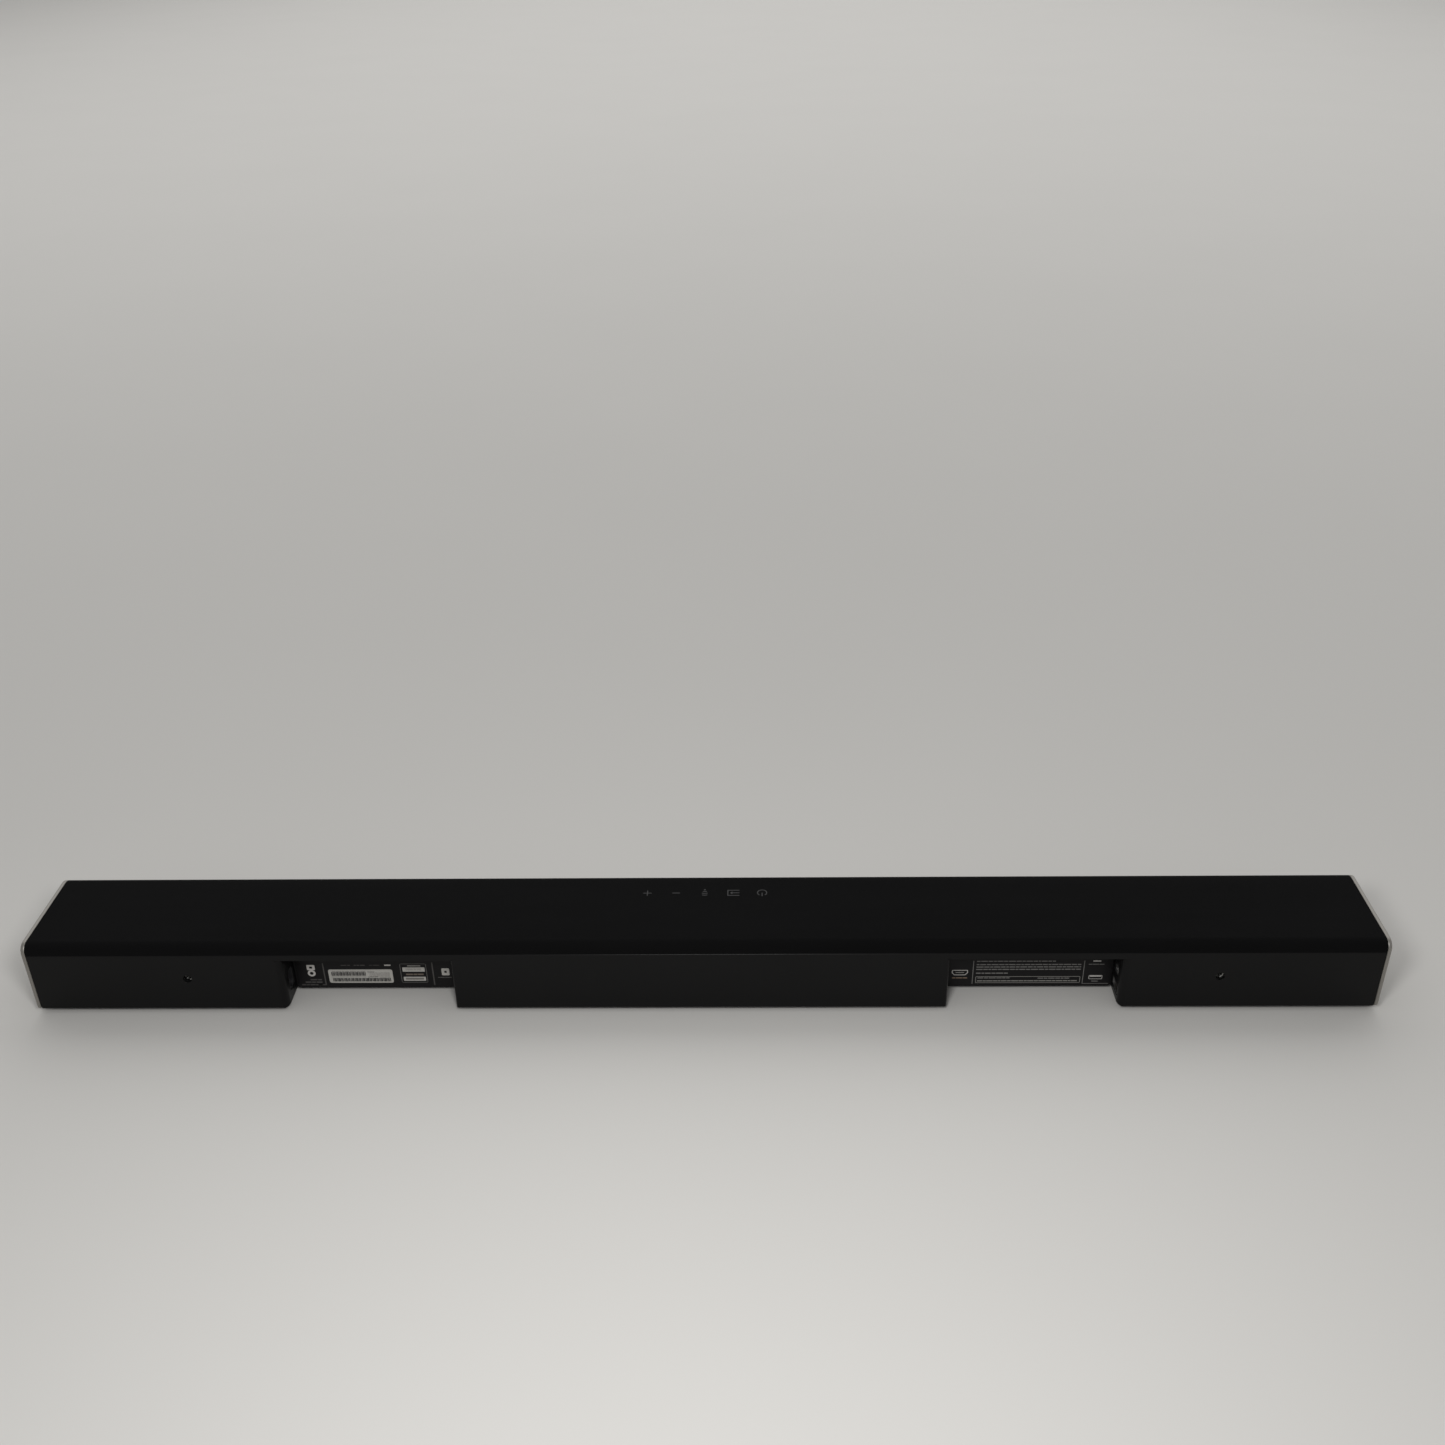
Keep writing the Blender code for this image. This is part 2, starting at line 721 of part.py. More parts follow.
def centred(y, z, wide, tall, grow, radius):
    """A rectangle in (y, z) round a point, grown on every side."""
    half_y, half_z = wide / 2 + grow, tall / 2 + grow
    return rectangle(y - half_y, y + half_y, z - half_z, z + half_z, radius)


def socket_body(name, wall, place, size, nose_radius, depth, finish):
    """A socket in a bay's side wall: a nose through the wall, and a larger body behind it.

    wall is (x of the wall's face, direction into the housing). Returns the body, and the
    hole the nose needs: (name, outline, low x, high x)."""
    hole = centred(*place, *size, GAP, nose_radius + GAP)
    nose = centred(*place, *size, 0, nose_radius)
    back = centred(*place, *size, SOCKET_RIM, 0.6 * MM)
    body = prism(name, "X", nose, *span(*wall, NOSE_INSET, WALL + 1 * MM), finish)
    join(body, prism(f"back_{name}", "X", back, *span(*wall, WALL + GAP, depth), finish))
    return body, (name, hole, *span(*wall, -1 * MM, WALL + 1 * MM))


# the bays' walls that hold sockets: (x of the face, direction into the housing)
RIGHT_OUTER = (BAY_OUT_X, 1)
RIGHT_INNER = (BAY_IN_X, -1)
LEFT_INNER = (-BAY_IN_X, 1)
LEFT_OUTER = (-BAY_OUT_X, -1)

AC_Y, AC_Z = 26.6 * MM, 19.7 * MM
OPTICAL_Y, OPTICAL_Z = 28.4 * MM, 17.9 * MM
AV_Y, AV_Z = 28.4 * MM, 16.2 * MM
LINE_Y, LINE_Z = 28.2 * MM, 26.6 * MM
SERVICE_Y, SERVICE_Z = 28.2 * MM, 12.6 * MM
PIN_PITCH = 8.6 * MM


def build_ac_inlet():
    size = (9.4 * MM, 15.6 * MM)
    body, hole = socket_body(
        "ac_inlet", RIGHT_OUTER, (AC_Y, AC_Z), size, 3 * MM, 18.5 * MM, "inner_plastic"
    )
    low, high = AC_Z - 6.8 * MM, AC_Z + 6.8 * MM
    half = 3.7 * MM
    cavity = rounded(
        [
            (AC_Y - half, low, half - 0.1 * MM),
            (AC_Y + half, low, half - 0.1 * MM),
            (AC_Y + half, high, 1 * MM),
            (AC_Y - half, high, 1 * MM),
        ]
    )
    mouth = span(*RIGHT_OUTER, -1 * MM, 10 * MM)
    cut(body, prism("ac_cavity", "X", cavity, *mouth, "plastic"))
    for i in (-1, 1):
        pin = circle(AC_Y, AC_Z + i * PIN_PITCH / 2, 1.2 * MM, 12)
        reach = span(*RIGHT_OUTER, 1.8 * MM, 11 * MM)
        join(body, prism(f"ac_pin_{i}", "X", pin, *reach, "steel"))
    return hole


SHUTTER_Y = (OPTICAL_Y - 3.9 * MM, OPTICAL_Y + 3.9 * MM)
SHUTTER_AXIS = (BAY_IN_X - 1.5 * MM, OPTICAL_Z + 3.1 * MM)


def build_optical_socket():
    place, size = (OPTICAL_Y, OPTICAL_Z), (10 * MM, 9 * MM)
    body, hole = socket_body(
        "optical_socket", RIGHT_INNER, place, size, 0.8 * MM, 14 * MM, "inner_plastic"
    )
    cavity = centred(*place, 8.6 * MM, 7.2 * MM, 0, 0)
    mouth = span(*RIGHT_INNER, -1 * MM, 11 * MM)
    cut(body, prism("optical_cavity", "X", cavity, *mouth, "plastic"))
    axis_x, axis_z = SHUTTER_AXIS
    half = 0.3 * MM
    flap = block(
        "optical_shutter",
        (-half, half),
        SHUTTER_Y,
        (-6.2 * MM, half),
        "inner_plastic",
    )
    flap.location = (axis_x, 0, axis_z)
    return hole


def build_av_socket():
    size = (15.2 * MM, 6 * MM)
    body, hole = socket_body(
        "av_socket", LEFT_INNER, (AV_Y, AV_Z), size, 0.6 * MM, 13 * MM, "steel"
    )
    wide, tall = 7 * MM, 2.4 * MM
    cavity = rounded(
        [
            (AV_Y - wide + 2 * MM, AV_Z - tall, 0),
            (AV_Y + wide - 2 * MM, AV_Z - tall, 0),
            (AV_Y + wide, AV_Z - tall + 1.6 * MM, 0),
            (AV_Y + wide, AV_Z + tall, 0),
            (AV_Y - wide, AV_Z + tall, 0),
            (AV_Y - wide, AV_Z - tall + 1.6 * MM, 0),
        ]
    )
    cut(body, prism("av_cavity", "X", cavity, *span(*LEFT_INNER, -1 * MM, 10 * MM), "plastic"))
    tongue = block(
        "av_tongue",
        span(*LEFT_INNER, 1.5 * MM, 11 * MM),
        (AV_Y - 5.6 * MM, AV_Y + 5.6 * MM),
        (AV_Z - 0.4 * MM, AV_Z + 0.6 * MM),
        "plastic",
    )
    join(body, tongue)
    return hole


def build_service_socket():
    place, size = (SERVICE_Y, SERVICE_Z), (13.6 * MM, 6.2 * MM)
    body, hole = socket_body(
        "service_socket", LEFT_OUTER, place, size, 0.5 * MM, 15 * MM, "steel"
    )
    cavity = centred(*place, 12.4 * MM, 5 * MM, 0, 0)
    mouth = span(*LEFT_OUTER, -1 * MM, 12 * MM)
    cut(body, prism("service_cavity", "X", cavity, *mouth, "plastic"))
    tongue = block(
        "service_tongue",
        span(*LEFT_OUTER, 1.2 * MM, 13 * MM),
        (SERVICE_Y - 5.4 * MM, SERVICE_Y + 5.4 * MM),
        (SERVICE_Z - 0.2 * MM, SERVICE_Z + 1.5 * MM),
        "plastic",
    )
    join(body, tongue)
    return hole


def build_line_socket():
    radius, half = 4.6 * MM, 5.4 * MM
    collar = span(*LEFT_OUTER, NOSE_INSET, WALL + 1 * MM)
    body = prism("line_socket", "X", circle(LINE_Y, LINE_Z, radius), *collar, "inner_plastic")
    back = block(
        "line_back",
        span(*LEFT_OUTER, WALL + GAP, 14 * MM),
        (LINE_Y - half, LINE_Y + half),
        (LINE_Z - half, LINE_Z + half),
        "inner_plastic",
    )
    join(body, back)
    bore = circle(LINE_Y, LINE_Z, 1.8 * MM, 14)
    cut(body, prism("line_bore", "X", bore, *span(*LEFT_OUTER, -1 * MM, 12 * MM), "plastic"))
    hole = circle(LINE_Y, LINE_Z, radius + GAP)
    return "line_socket", hole, *span(*LEFT_OUTER, -1 * MM, WALL + 1 * MM)


# ---- electronics ---------------------------------------------------------------------------
MAIN_BOARD = ((-163 * MM, -22 * MM), (-4 * MM, 34 * MM))
POWER_BOARD = ((14 * MM, 112 * MM), (-4 * MM, 34 * MM))
INPUT_BOARD = ((122 * MM, 163 * MM), (12 * MM, 34 * MM))
POST_PLACES = [
    (x, y)
    for (x0, x1), (y0, y1) in (MAIN_BOARD, POWER_BOARD, INPUT_BOARD)
    for x in (x0 + 4 * MM, x1 - 4 * MM)
    for y in (y0 + 4 * MM, y1 - 4 * MM)
]


def build_boards():
    level = (BOARD_BASE_Z, BOARD_TOP_Z)
    block("main_board", *MAIN_BOARD, level, "board")
    block("power_board", *POWER_BOARD, level, "board")
    block("input_board", *INPUT_BOARD, level, "board")
    block(
        "service_board",
        span(*LEFT_OUTER, WALL + 1 * MM, 30 * MM),
        (36 * MM, 36 * MM + BOARD_THICK),
        (8 * MM, 34 * MM),
        "board",
    )
    block(
        "indicator_board",
        (-300 * MM, -222 * MM),
        (-34 * MM, -34 * MM + BOARD_THICK),
        (18 * MM, 38 * MM),
        "board",
    )
    sensor = prism(
        "remote_sensor",
        "Y",
        rectangle(-210 * MM, -200 * MM, 24 * MM, 36 * MM, 1 * MM),
        -34.4 * MM,
        -31.4 * MM,
        "component",
    )
    lens = turned(
        "sensor_lens",
        "Y",
        Vector((-205 * MM, 0, 30 * MM)),
        [(0, -36.4 * MM), (2 * MM, -36 * MM), (3.4 * MM, -34 * MM), (0, -34 * MM)],
        "component",
        12,
    )
    join(sensor, lens)


FIN_COUNT = 6
FIN_PITCH = 8.2 * MM
FIN_THICK = 1.6 * MM


def on_board(tall, lift=0.0):
    """Two heights of a component: standing on the boards, or lifted above them."""
    return ON_BOARD_Z + lift, ON_BOARD_Z + tall


def build_components():
    sink = block("heat_sink", (-96 * MM, -52 * MM), (-1 * MM, 19 * MM), on_board(4 * MM), "aluminium")
    for i in range(FIN_COUNT):
        x = -95 * MM + FIN_PITCH * i
        across, up = (-0.5 * MM, 18.5 * MM), on_board(22 * MM, 3 * MM)
        join(sink, block(f"fin_{i}", (x, x + FIN_THICK), across, up, "aluminium"))

    can = rectangle(-140 * MM, -112 * MM, 6 * MM, 26 * MM, 1 * MM)
    module = prism("radio_module", "Z", can, *on_board(3 * MM), "steel")
    strip = ((-113 * MM, -106 * MM), (8 * MM, 24 * MM), on_board(1 * MM))
    join(module, block("antenna_strip", *strip, "board"))

    laminations = ((38 * MM, 64 * MM), (4 * MM, 28 * MM), on_board(20 * MM, 4 * MM))
    core = block("transformer", *laminations, "magnet")
    bobbin = rectangle(42 * MM, 60 * MM, 0.5 * MM, 31.5 * MM, 4 * MM)
    join(core, prism("transformer_winding", "Z", bobbin, *on_board(24 * MM), "winding"))

    base, top = on_board(24.8 * MM)
    can = [(0, base), (8 * MM, base), (8 * MM, top - 0.8 * MM), (7.4 * MM, top), (0, top)]
    turned("main_capacitor", "Z", Vector((88 * MM, 16 * MM, 0)), can, "component")


def build_leads():
    reach = [(402, 0, 24), (400, 5, 13), (388, 8, 9), (330, 8, 8.8), (322, 8, 8.8)]
    ends = [(x * MM, y * MM, z * MM) for x, y, z in reach]
    middle = [(x * MM, 8 * MM, 8.4 * MM) for x in (250, 160, 80)]
    right = ends + middle
    left = [(-x, y, z) for x, y, z in reversed(right)]
    cable("speaker_harness", right + left, 1.4 * MM, "rubber", 2)
    mains = [
        (301.4, 26.6, 19.7),
        (306, 25.6, 19.6),
        (311, 20, 19.2),
        (310, 12, 18.6),
        (300, 6, 18),
        (286, 4, 17.6),
        (210, 4, 17.4),
        (130, 4, 17),
        (114, 5, 16),
        (106, 8, 15.2),
    ]
    cable("mains_lead", [(x * MM, y * MM, z * MM) for x, y, z in mains], 2.2 * MM, "rubber")


def build():
    clear_scene()
    socket_holes = [
        build_ac_inlet(),
        build_optical_socket(),
        build_av_socket(),
        build_service_socket(),
        build_line_socket(),
    ]
    build_housing(socket_holes)
    build_grille()
    build_walls()
    build_ends()
    build_feet()
    build_socket_labels()
    build_hang_inserts()
    build_keys()
    for name, x in DRIVERS:
        build_driver(name, x)
    build_boards()
    build_components()
    build_leads()


build()
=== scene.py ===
"""The looks of a slim fabric-covered soundbar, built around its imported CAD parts.

The row frame: +X runs along the bar to the listener's right, the grille faces -Y, the
connector side faces +Y, +Z is up, and the floor is z = 0. Everything is in metres; MM turns
millimetres into metres.
"""

import json
import math

import bmesh
import bpy
from mathutils import Matrix, Vector


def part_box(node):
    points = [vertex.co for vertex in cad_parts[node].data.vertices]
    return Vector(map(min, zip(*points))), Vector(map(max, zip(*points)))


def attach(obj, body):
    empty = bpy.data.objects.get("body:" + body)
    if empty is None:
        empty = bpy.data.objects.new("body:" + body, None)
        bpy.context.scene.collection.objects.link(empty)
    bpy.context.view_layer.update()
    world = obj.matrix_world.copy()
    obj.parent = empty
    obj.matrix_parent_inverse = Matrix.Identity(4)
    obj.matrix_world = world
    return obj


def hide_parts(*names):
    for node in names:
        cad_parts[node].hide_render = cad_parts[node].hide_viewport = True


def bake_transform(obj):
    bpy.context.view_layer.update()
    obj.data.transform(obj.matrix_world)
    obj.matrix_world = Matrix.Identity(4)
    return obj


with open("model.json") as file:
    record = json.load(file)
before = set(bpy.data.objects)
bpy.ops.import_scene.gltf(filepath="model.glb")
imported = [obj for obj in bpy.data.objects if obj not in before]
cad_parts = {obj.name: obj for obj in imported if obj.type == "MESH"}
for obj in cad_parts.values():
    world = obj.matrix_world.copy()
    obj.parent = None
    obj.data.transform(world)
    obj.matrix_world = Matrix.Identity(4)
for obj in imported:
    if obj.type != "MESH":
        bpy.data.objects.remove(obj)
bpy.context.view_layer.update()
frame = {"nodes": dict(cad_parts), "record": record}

MM = 0.001

# ---- main sizes, where they can be, read from the frame -----------------------------------
CLOTH_LOW, CLOTH_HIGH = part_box("grille_cloth")
BODY_X = CLOTH_HIGH.x  # half length between the end plates
BACK_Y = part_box("rear_housing")[1].y
FRONT_Y = CLOTH_LOW.y
BASE_Z = CLOTH_LOW.z
TOP_Z = CLOTH_HIGH.z
SEAM_Z = 50.5 * MM  # rear edge of the cloth
HEM_Y = -30 * MM  # front edge of the cloth on the underside
GAP = 0.3 * MM
WALL = 2.5 * MM
BODY_IN = 3 * MM  # from the cloth's outer face to the housing's outer face

# corner radii of the cross-section: front bottom, rear bottom, rear top, front top
CORNER_RADII = (4 * MM, 2 * MM, 7 * MM, 8 * MM)
PLATE_RADII = (4 * MM, 3 * MM, 7 * MM, 8 * MM)
PLATE_THICK = 2.7 * MM

# connector bays
BAY_IN_X = 167.2 * MM
BAY_OUT_X = 282.5 * MM
BAY_BACK_Y = 18.2 * MM
BAY_TOP_Z = 45.3 * MM
BAY_MOUTH_RADIUS = 5.5 * MM
BAY_INNER_RADIUS = 2 * MM
BAY_EDGE_RADIUS = 1.8 * MM  # where the bay's walls meet the underside
FILM_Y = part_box("socket_label_left")[1].y  # the printed face of both films

# keys, in order from the listener's left
KEY_NAMES = ("power", "input", "wireless", "volume_down", "volume_up")
KEY_Y = sum(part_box("key_power")[i].y for i in (0, 1)) / 2
KEY_OUTER = 8 * MM  # half width of the square of cloth that gives way to a key
KEY_INNER = 4.7 * MM  # half width of the cloth that moves with the key
CLOTH_THICK = 0.3 * MM

SIDES = ((-1, "left"), (1, "right"))
FOOT_NAMES = [f"foot_{end}_{side}" for end in ("front", "rear") for side in ("left", "right")]
ARC_STEPS = 10
SHARP = math.radians(32)


# ---- node-based materials ---------------------------------------------------------------
class Material:
    """A procedural material: a Principled shader and short ways to add nodes to it."""

    def __init__(self, name, colour, roughness, metallic=0.0, specular=0.5):
        self.made = bpy.data.materials.new(name)
        self.made.use_nodes = True
        self.made.diffuse_color = (*colour, 1)
        self.tree = self.made.node_tree
        self.shader = self.tree.nodes["Principled BSDF"]
        self.colour = colour
        self.set("Base Color", (*colour, 1))
        self.set("Roughness", roughness)
        self.set("Metallic", metallic)
        self.set("Specular IOR Level", specular)

    def set(self, socket, value):
        self.shader.inputs[socket].default_value = value

    def add(self, kind, inputs=(), **settings):
        """A node, with its settings and its inputs: a socket is linked, a value is set."""
        node = self.tree.nodes.new(kind)
        for key, value in settings.items():
            setattr(node, key, value)
        for key, value in dict(inputs).items():
            if isinstance(value, bpy.types.NodeSocket):
                self.tree.links.new(value, node.inputs[key])
            else:
                node.inputs[key].default_value = value
        return node

    def link(self, output, socket):
        self.tree.links.new(output, self.shader.inputs[socket])

    def math(self, operation, a, b=0.0):
        return self.add("ShaderNodeMath", {0: a, 1: b}, operation=operation).outputs[0]

    def place(self):
        return self.add("ShaderNodeTexCoord").outputs["Object"]

    def noise(self, scale, detail=2.0, stretch=(1, 1, 1), roughness=0.5):
        """Noise over the object's own coordinates; scale is in waves for each metre."""
        spread = self.add("ShaderNodeMapping", {"Vector": self.place(), "Scale": stretch})
        inputs = {
            "Vector": spread.outputs[0],
            "Scale": scale,
            "Detail": detail,
            "Roughness": roughness,
        }
        return self.add("ShaderNodeTexNoise", inputs).outputs["Fac"]

    def shades(self, factor, low, high):
        """The base colour, times low where the factor is 0.3 and high where it is 0.7."""
        ramp = self.add("ShaderNodeValToRGB", {"Fac": factor})
        for stop, position, share in zip(ramp.color_ramp.elements, (0.3, 0.7), (low, high)):
            stop.position = position
            stop.color = (*(share * c for c in self.colour), 1)
        return ramp.outputs["Color"]

    def spread_of(self, factor, low, high):
        """A number from low to high as the factor goes from 0.3 to 0.7."""
        inputs = {"Value": factor, "From Min": 0.3, "From Max": 0.7, "To Min": low, "To Max": high}
        return self.add("ShaderNodeMapRange", inputs).outputs[0]

    def bump(self, height, distance, strength=1.0):
        inputs = {"Height": height, "Distance": distance, "Strength": strength}
        self.link(self.add("ShaderNodeBump", inputs).outputs[0], "Normal")


def moulded(name, colour, roughness, grain, depth, specular=0.5, metallic=0.0, tint=0.12):
    """A moulded, cast or sheathed surface: even tone, fine spark-eroded grain, soft clouding."""
    made = Material(name, colour, roughness, metallic, specular)
    cloud = made.noise(14, 3)
    fine = made.noise(grain, 2)
    made.link(made.shades(cloud, 1 - tint, 1 + tint), "Base Color")
    made.link(made.spread_of(fine, roughness - 0.05, roughness + 0.07), "Roughness")
    made.bump(fine, depth)
    return made.made


def woven(name, colour, pitch):
    """Plain-woven acoustic cloth: warp and weft over the cloth's own flat coordinates."""
    made = Material(name, colour, 0.85, specular=0.05)
    made.set("Sheen Weight", 0.014)
    made.set("Sheen Roughness", 0.45)
    flat = made.add("ShaderNodeUVMap", uv_map="flat").outputs[0]
    split = made.add("ShaderNodeSeparateXYZ", {0: flat})
    waves = [made.math("SINE", made.math("MULTIPLY", split.outputs[i], math.pi / pitch)) for i in (0, 1)]
    warp, weft = (made.math("ABSOLUTE", wave) for wave in waves)
    over = made.math("GREATER_THAN", made.math("MULTIPLY", *waves), 0.0)
    swell = [
        made.math("MULTIPLY", a, made.math("ADD", made.math("MULTIPLY", b, 0.5), 0.5))
        for a, b in ((warp, weft), (weft, warp))
    ]
    thread = made.add("ShaderNodeMix", {"Factor": over, "A": swell[1], "B": swell[0]}).outputs[0]
    slub = made.noise(60, 4, stretch=(0.12, 1, 1), roughness=0.6)
    cloud = made.noise(9, 3, stretch=(0.5, 1, 1))
    worn = made.math("ADD", made.math("MULTIPLY", slub, 0.45), made.math("MULTIPLY", cloud, 0.55))
    # The thread height, also used for the bump, makes the crests lighter and the hollows between threads
    # darker: painted shade of the weave's relief. The slub and clouding are the yarn's own uneven tone.
    tone = made.math("ADD", made.math("MULTIPLY", thread, 0.25), made.math("MULTIPLY", worn, 0.75))
    made.link(made.shades(tone, 0.7, 1.3), "Base Color")
    made.bump(thread, 0.09 * MM, 0.7)
    return made.made


def brushed(name, colour, roughness, stretch, grain=900, depth=0.004 * MM):
    """Metal with a fine grain drawn out along one direction."""
    made = Material(name, colour, roughness, 1.0)
    lines = made.noise(grain, 3, stretch=stretch)
    made.link(made.shades(lines, 0.93, 1.06), "Base Color")
    made.link(made.spread_of(lines, roughness - 0.05, roughness + 0.07), "Roughness")
    made.bump(lines, depth)
    return made.made


def printed(name, colour, roughness=0.5, specular=0.35):
    """Screen-printed ink or label paper, slightly uneven in its coverage."""
    made = Material(name, colour, roughness, specular=specular)
    made.link(made.shades(made.noise(1800, 3), 0.86, 1.08), "Base Color")
    made.bump(made.noise(2600, 2), 0.003 * MM)
    return made.made


def board(name, colour):
    """Solder-masked board: copper tracks show as lighter lines under the mask."""
    made = Material(name, colour, 0.42)
    cells = made.add("ShaderNodeTexVoronoi", {"Vector": made.place(), "Scale": 420}, distance="MANHATTAN")
    made.link(made.shades(cells.outputs["Distance"], 0.8, 1.5), "Base Color")
    made.bump(cells.outputs["Distance"], 0.02 * MM)
    return made.made


CLOTH_BLACK = (0.0036, 0.0036, 0.0038)
PLASTIC_BLACK = (0.0046, 0.0046, 0.0048)

MATERIALS = {
    "grille_cloth": woven("grille_cloth", CLOTH_BLACK, 0.55 * MM),
    "key_cloth": moulded("key_caps", (0.01, 0.01, 0.011), 0.6, 1500, 0.01 * MM),
    "housing_plastic": moulded("housing_plastic", PLASTIC_BLACK, 0.34, 1400, 0.01 * MM, 0.14, tint=0.06),
    "inner_plastic": moulded("inner_plastic", (0.012, 0.012, 0.013), 0.55, 1200, 0.015 * MM, 0.3),
    "end_plate_silver": brushed("end_plate_silver", (0.31, 0.297, 0.275), 0.41, (1, 1, 0.1)),
    "foot_rubber": moulded("foot_rubber", (0.012, 0.012, 0.012), 0.85, 700, 0.05 * MM, 0.2),
    "label_film": moulded("label_film", (0.0056, 0.0052, 0.0058), 0.4, 1600, 0.006 * MM, 0.2, tint=0.1),
    "circuit_board": board("circuit_board", (0.012, 0.06, 0.03)),
    "socket_steel": brushed("socket_steel", (0.3, 0.3, 0.295), 0.42, (0.1, 1, 1)),
    "basket_steel": moulded("basket_steel", (0.04, 0.04, 0.042), 0.4, 900, 0.02 * MM, metallic=0.6),
    "motor_ferrite": moulded("motor_ferrite", (0.05, 0.05, 0.053), 0.6, 800, 0.03 * MM, metallic=0.3),
    "cone_paper": moulded("cone_paper", (0.045, 0.043, 0.04), 0.9, 1100, 0.06 * MM, 0.2, tint=0.25),
    "surround_rubber": moulded("surround_rubber", (0.015, 0.015, 0.015), 0.7, 900, 0.01 * MM, 0.3),
    "insert_nickel": brushed("insert_nickel", (0.3, 0.3, 0.29), 0.25, (1, 0.15, 1)),
    "sink_aluminium": brushed("sink_aluminium", (0.6, 0.6, 0.62), 0.38, (1, 1, 0.1)),
    "transformer_core": moulded("transformer_core", (0.1, 0.085, 0.05), 0.5, 500, 0.05 * MM, tint=0.3),
    "component_case": moulded("component_case", (0.03, 0.035, 0.07), 0.4, 900, 0.01 * MM),
    "lead_sheath": moulded("lead_sheath", (0.02, 0.02, 0.02), 0.55, 900, 0.02 * MM, 0.4),
    "white_ink": printed("white_ink", (0.5, 0.485, 0.465)),
    "grey_ink": printed("grey_ink", (0.16, 0.157, 0.152)),
    "outline_ink": printed("outline_ink", (0.1, 0.098, 0.094)),
    "faint_ink": printed("faint_ink", (0.065, 0.062, 0.06)),
    "copper_ink": printed("copper_ink", (0.24, 0.17, 0.12)),
    "label_paper": printed("label_paper", (0.42, 0.41, 0.385), 0.6),
    "label_ink": printed("label_ink", (0.012, 0.011, 0.011)),
    "label_grey": printed("label_grey", (0.17, 0.16, 0.15)),
    "brown_ink": printed("brown_ink", (0.13, 0.105, 0.085)),
    "note_ink": printed("note_ink", (0.24, 0.235, 0.22)),
    "key_ink": printed("key_ink", (0.06, 0.06, 0.061), 0.7, 0.12),
    "screw_steel": brushed("screw_steel", (0.1, 0.1, 0.105), 0.35, (1, 1, 1)),
    "contact_gold": brushed("contact_gold", (0.75, 0.52, 0.2), 0.25, (0.2, 1, 1)),
    "tongue_plastic": moulded("tongue_plastic", (0.02, 0.02, 0.022), 0.4, 900, 0.01 * MM),
}


def finish_cad_nodes():
    """Gives every CAD node the procedural material of its slot."""
    for part in frame["record"]["subparts"]:
        mesh = frame["nodes"][part["node"]].data
        mesh.materials.clear()
        mesh.materials.append(MATERIALS[part["material_slot"]])


# ---- outlines -----------------------------------------------------------------------------
def rounded(corners, steps=ARC_STEPS):
    """An outline from corners (u, v, radius), each corner rounded by an arc."""
    points = []
    for i, (u, v, radius) in enumerate(corners):
        corner = Vector((u, v))
        if radius <= 0:
            points.append(corner)
            continue
        back = (Vector(corners[i - 1][:2]) - corner).normalized()
        ahead = (Vector(corners[(i + 1) % len(corners)][:2]) - corner).normalized()
        half = back.angle(ahead) / 2
        centre = corner + (back + ahead).normalized() * (radius / math.sin(half))
        first = corner + back * (radius / math.tan(half)) - centre
        last = corner + ahead * (radius / math.tan(half)) - centre
        sweep = -first.angle_signed(last)
        for k in range(steps + 1):
            points.append(centre + Matrix.Rotation(sweep * k / steps, 2) @ first)
    return points


def rectangle(u0, u1, v0, v1, radius=0.0, steps=ARC_STEPS):
    corners = [(u0, v0, radius), (u1, v0, radius), (u1, v1, radius), (u0, v1, radius)]
    return rounded(corners, steps)


def circle(u, v, radius, sides=32):
    turns = [2 * math.pi * k / sides for k in range(sides)]
    return [Vector((u + radius * math.cos(t), v + radius * math.sin(t))) for t in turns]


def around(low, high, grow=0.0, radius=0.0):
    """A rectangle round the (u, v) box from low to high, grown on every side."""
    return rectangle(low[0] - grow, high[0] + grow, low[1] - grow, high[1] + grow, radius)


# ---- meshes --------------------------------------------------------------------------------
def on_axis(axis, u, v, along):
    """A point from an outline's (u, v) and its place along the axis of extrusion."""
    return {"X": (along, u, v), "Y": (u, along, v), "Z": (u, v, along)}[axis]


def add_prism(bm, axis, outline, low, high):
    """A closed prism: the outline is (y, z), (x, z) or (x, y) for axis X, Y or Z."""
    ends = [[bm.verts.new(on_axis(axis, *p, along)) for p in outline] for along in (low, high)]
    bm.faces.new(ends[0])
    bm.faces.new(ends[1])
    for k in range(len(outline)):
        after = (k + 1) % len(outline)
        bm.faces.new((ends[0][k], ends[0][after], ends[1][after], ends[1][k]))


def add_ring(bm, axis, outer, inner, low, high):
    """A closed frame between two outlines that have the same number of points."""
    loops = [
        [bm.verts.new(on_axis(axis, *p, along)) for p in outline]
        for outline, along in ((outer, low), (outer, high), (inner, high), (inner, low))
    ]
    for i, loop in enumerate(loops):
        beside = loops[(i + 1) % 4]
        for k in range(len(loop)):
            after = (k + 1) % len(loop)
            bm.faces.new((loop[k], loop[after], beside[after], beside[k]))


def add_turned(bm, axis, centre, profile, sides=48):
    """A closed profile of (radius, along) points spun about an axis through centre."""
    rings = []
    for radius, along in profile:
        spots = circle(0, 0, radius, sides) if radius > 0 else [Vector((0, 0))]
        rings.append([bm.verts.new(Vector(on_axis(axis, *p, along)) + centre) for p in spots])
    for i, ring in enumerate(rings):
        after = rings[(i + 1) % len(rings)]
        if len(ring) == len(after) == 1:
            continue
        for k in range(sides):
            corners = [ring[k % len(ring)], ring[(k + 1) % len(ring)]]
            corners += [after[(k + 1) % len(after)], after[k % len(after)]]
            bm.faces.new(list(dict.fromkeys(corners)))


